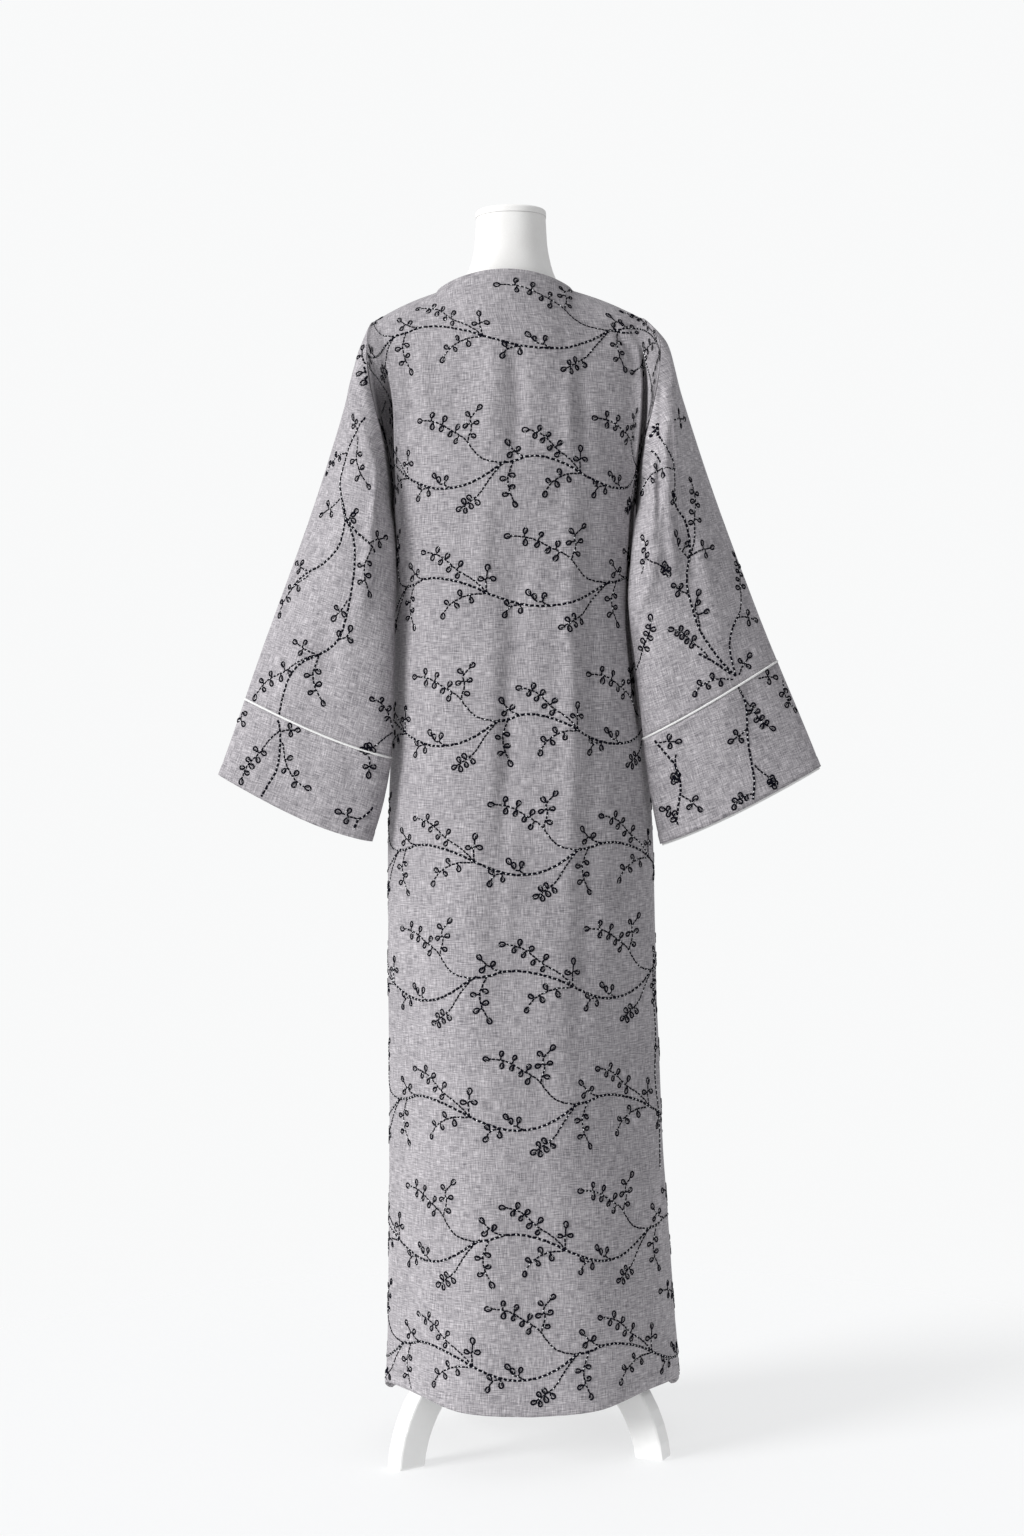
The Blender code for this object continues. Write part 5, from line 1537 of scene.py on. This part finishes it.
class Nodes:
    """Short names for building a material's or a world's nodes."""

    def __init__(self, made, surface="Principled BSDF"):
        self.made = made
        made.use_nodes = True
        self.tree = made.node_tree
        self.surface = self.tree.nodes[surface]

    def fill(self, node, inputs):
        """Sets a node's inputs to values, or links them where another node's output is given."""
        for name, value in inputs.items():
            if isinstance(value, bpy.types.NodeSocket):
                self.tree.links.new(value, node.inputs[name])
            else:
                node.inputs[name].default_value = value

    def add(self, kind, inputs, **values):
        node = self.tree.nodes.new(kind)
        for key, value in values.items():
            setattr(node, key, value)
        self.fill(node, inputs)
        return node

    def place(self, scale, rotation=0.0):
        """The weave's flat place, scaled per metre and turned."""
        flat = self.add("ShaderNodeUVMap", {}, uv_map="weave")
        inputs = {"Vector": flat.outputs["UV"], "Scale": (*scale, 1.0), "Rotation": (0.0, 0.0, rotation)}
        return self.add("ShaderNodeMapping", inputs).outputs["Vector"]

    def spot(self):
        """The place on the object itself, in metres."""
        return self.add("ShaderNodeTexCoord", {}).outputs["Object"]

    def noise(self, vector, detail=2.0, roughness=0.5, scale=1.0):
        inputs = {"Vector": vector, "Scale": scale, "Detail": detail, "Roughness": roughness}
        return self.add("ShaderNodeTexNoise", inputs).outputs["Fac"]

    def maths(self, operation, first, second):
        return self.add("ShaderNodeMath", {0: first, 1: second}, operation=operation).outputs["Value"]

    def spread(self, value, low, high, out_low, out_high, **values):
        inputs = {"Value": value, "From Min": low, "From Max": high, "To Min": out_low, "To Max": out_high}
        return self.add("ShaderNodeMapRange", inputs, **values).outputs["Result"]

    def colour(self, value, stops):
        """A ramp of colours over a value, as the surface's base colour."""
        node = self.add("ShaderNodeValToRGB", {"Fac": value})
        while len(node.color_ramp.elements) < len(stops):
            node.color_ramp.elements.new(0.5)
        for element, (place, colour) in zip(node.color_ramp.elements, stops):
            element.position = place
            element.color = (*colour, 1.0)
        self.fill(self.surface, {"Base Color": node.outputs["Color"]})

    def bump(self, height, distance, strength):
        node = self.add("ShaderNodeBump", {"Height": height, "Distance": distance, "Strength": strength})
        self.fill(self.surface, {"Normal": node.outputs["Normal"]})

    def finish(self, inputs):
        self.fill(self.surface, inputs)
        return self.made


def material(name):
    return Nodes(bpy.data.materials.new(name))


def linen_material(name, painted_light_gain):
    """Grey melange linen: pale and dark threads in both directions, slubs and a fine weave."""
    nodes = material(name)
    noises = {kind: nodes.noise(nodes.place(scale), detail, roughness)
              for kind, (scale, detail, roughness) in LINEN_NOISES.items()}
    weft = nodes.maths("MULTIPLY", noises["weft"], WEFT_SHARE)
    threads = nodes.maths("ADD", weft, nodes.maths("MULTIPLY", noises["warp"], WARP_SHARE))
    total = nodes.maths("ADD", threads, nodes.spread(noises["mottle"], *MOTTLE_SPREAD))
    total = nodes.maths("SUBTRACT", total, nodes.spread(noises["slub"], *SLUB_SPREAD))
    total = nodes.maths("ADD", total, nodes.spread(noises["fleck"], *SLUB_SPREAD))
    # A gain above 1 paints light into the cloth's colour as a lighter copy of the same linen
    stops = [(place, tuple(channel * painted_light_gain for channel in tone)) for place, tone in LINEN_STOPS]
    nodes.colour(nodes.spread(total, *LINEN_SPREAD), stops)
    fine = nodes.maths("ADD", noises["fine_weft"], noises["fine_warp"])
    nodes.bump(nodes.maths("ADD", fine, nodes.maths("MULTIPLY", threads, LINEN_BUMP_THREADS)), *LINEN_BUMP)
    return nodes.finish(LINEN_SURFACE)


def thread_material(name, scale, detail, stops, strand_scale, bump, surface):
    nodes = material(name)
    spot = nodes.spot()
    tone = nodes.noise(spot, detail, scale=scale)
    nodes.colour(tone, stops)
    nodes.bump(nodes.noise(spot, detail=1.0, scale=strand_scale) if strand_scale else tone, *bump)
    return nodes.finish(surface)


def cord_material():
    nodes = material("white cotton cord")
    inputs = {"Vector": nodes.place((1.0, 1.0)), "Scale": CORD_WAVES, "Distortion": CORD_DISTORTION}
    wave = nodes.add("ShaderNodeTexWave", inputs, wave_type="BANDS", bands_direction="DIAGONAL")
    nodes.colour(wave.outputs["Fac"], CORD_STOPS)
    nodes.bump(wave.outputs["Fac"], *CORD_BUMP)
    return nodes.finish(CORD_SURFACE)


def jersey_material(name, turn, scale):
    """Stretched off-white knit with fine rows and faint soiling."""
    nodes = material(name)
    rows = nodes.noise(nodes.place((scale, scale * JERSEY_ROW_STRETCH), rotation=turn))
    soil = nodes.noise(nodes.place(SOIL_SCALE), detail=4.0)
    nodes.colour(nodes.maths("ADD", nodes.spread(rows, *JERSEY_SPREAD), soil), JERSEY_STOPS)
    nodes.bump(rows, *JERSEY_BUMP)
    return nodes.finish(JERSEY_SURFACE)


def paint_material(name, base, roughness, bump):
    """White satin paint over wood or metal, with slight brush unevenness and wear."""
    nodes = material(name)
    spot = nodes.spot()
    worn = tuple(channel * PAINT_WORN_SHARE for channel in base)
    soft = nodes.noise(spot, detail=4.0, scale=PAINT_SOFT_SCALE)
    nodes.colour(soft, [(PAINT_STOPS[0], worn), (PAINT_STOPS[1], base)])
    fine = nodes.noise(spot, detail=3.0, scale=PAINT_FINE_SCALE)
    rough = nodes.spread(fine, *PAINT_FINE_ENDS, roughness - PAINT_SMOOTHER, roughness + PAINT_ROUGHER)
    nodes.bump(fine, bump, PAINT_BUMP_STRENGTH)
    return nodes.finish({"Roughness": rough, "Coat Weight": PAINT_COAT})


# Studio

def make_floor():
    """A pale floor that fades into the backdrop with distance."""
    mesh = bpy.data.meshes.new("studio_floor")
    work = bmesh.new()
    bmesh.ops.create_circle(work, cap_ends=True, segments=FLOOR_SEGMENTS, radius=FLOOR_RADIUS)
    work.to_mesh(mesh)
    work.free()
    floor = bpy.data.objects.new("studio_floor", mesh)
    bpy.context.scene.collection.objects.link(floor)
    nodes = material("studio floor")
    length = nodes.add("ShaderNodeVectorMath", {0: nodes.spot()}, operation="LENGTH").outputs["Value"]
    fade = nodes.spread(length, FLOOR_FADE_START, FLOOR_FADE_END, 1.0, 0.0, interpolation_type="SMOOTHSTEP")
    nodes.fill(nodes.surface, {
        "Base Color": (*FLOOR_COLOUR, 1.0), "Roughness": FLOOR_ROUGHNESS, "Alpha": fade,
        "Specular IOR Level": FLOOR_SPECULAR, "Emission Color": (*BACKDROP_COLOUR, 1.0),
        "Emission Strength": FLOOR_GLOW})
    mesh.materials.append(nodes.made)


def make_studio():
    """The ambient light, the plain backdrop that only the camera sees, and the sun."""
    scene = bpy.context.scene
    scene.view_settings.view_transform = "Standard"
    nodes = Nodes(bpy.data.worlds.new("studio"), "Background")
    scene.world = nodes.made
    nodes.fill(nodes.surface, {"Color": (*AMBIENT_COLOUR, 1.0), "Strength": AMBIENT_STRENGTH})
    backdrop = nodes.add("ShaderNodeBackground", {"Color": (*BACKDROP_COLOUR, 1.0)})
    seen = nodes.add("ShaderNodeLightPath", {}).outputs["Is Camera Ray"]
    inputs = {"Fac": seen, 1: nodes.surface.outputs["Background"], 2: backdrop.outputs["Background"]}
    mix = nodes.add("ShaderNodeMixShader", inputs)
    nodes.fill(nodes.tree.nodes["World Output"], {"Surface": mix.outputs["Shader"]})
    for name, direction, strength, softness in LIGHTS:
        data = bpy.data.lights.new(name, "SUN")
        data.energy = strength
        data.angle = math.radians(softness)
        lamp = bpy.data.objects.new(name, data)
        lamp.rotation_euler = Vector(direction).to_track_quat("Z", "Y").to_euler()
        scene.collection.objects.link(lamp)


def make_camera():
    data = bpy.data.cameras.new("camera")
    data.sensor_fit = "AUTO"
    data.sensor_width = CAMERA_SENSOR
    data.lens = CAMERA_SENSOR * CAMERA_FOCAL_PIXELS / PHOTO_HEIGHT
    data.shift_y = (CAMERA_HORIZON_PIXEL - PHOTO_HEIGHT / 2) / PHOTO_HEIGHT
    camera = bpy.data.objects.new("camera", data)
    camera.location = CAMERA_PLACE
    camera.rotation_euler = (math.radians(90), 0.0, math.radians(180))
    camera.rotation_euler.rotate_axis("Z", math.radians(-CAMERA_ROLL))
    bpy.context.scene.collection.objects.link(camera)
    bpy.context.scene.camera = camera


def main():
    linen = linen_material("linen melange", 1.0)
    # The sleeves and cuffs get the linen painted lighter, standing in for the light on them
    sleeve_linen_painted_lighter = linen_material("sleeve linen melange painted lighter", SLEEVE_PAINTED_LIGHTER)
    cord = cord_material()
    threads = [thread_material(*values) for values in THREADS]
    make_back(linen, threads)
    for side in ("left", "right"):
        make_front(side, linen, threads)
        cloth = make_sleeve(side, sleeve_linen_painted_lighter, threads)
        make_piping(side, cloth, cord)
    make_edging("right", cord)
    make_form(jersey_material(*JERSEY_COVER), jersey_material(*CAP_KNIT))
    dress_stand(paint_material("white wood paint", *WOOD_PAINT),
                paint_material("white metal paint", *METAL_PAINT))
    make_floor()
    make_studio()
    make_camera()


main()
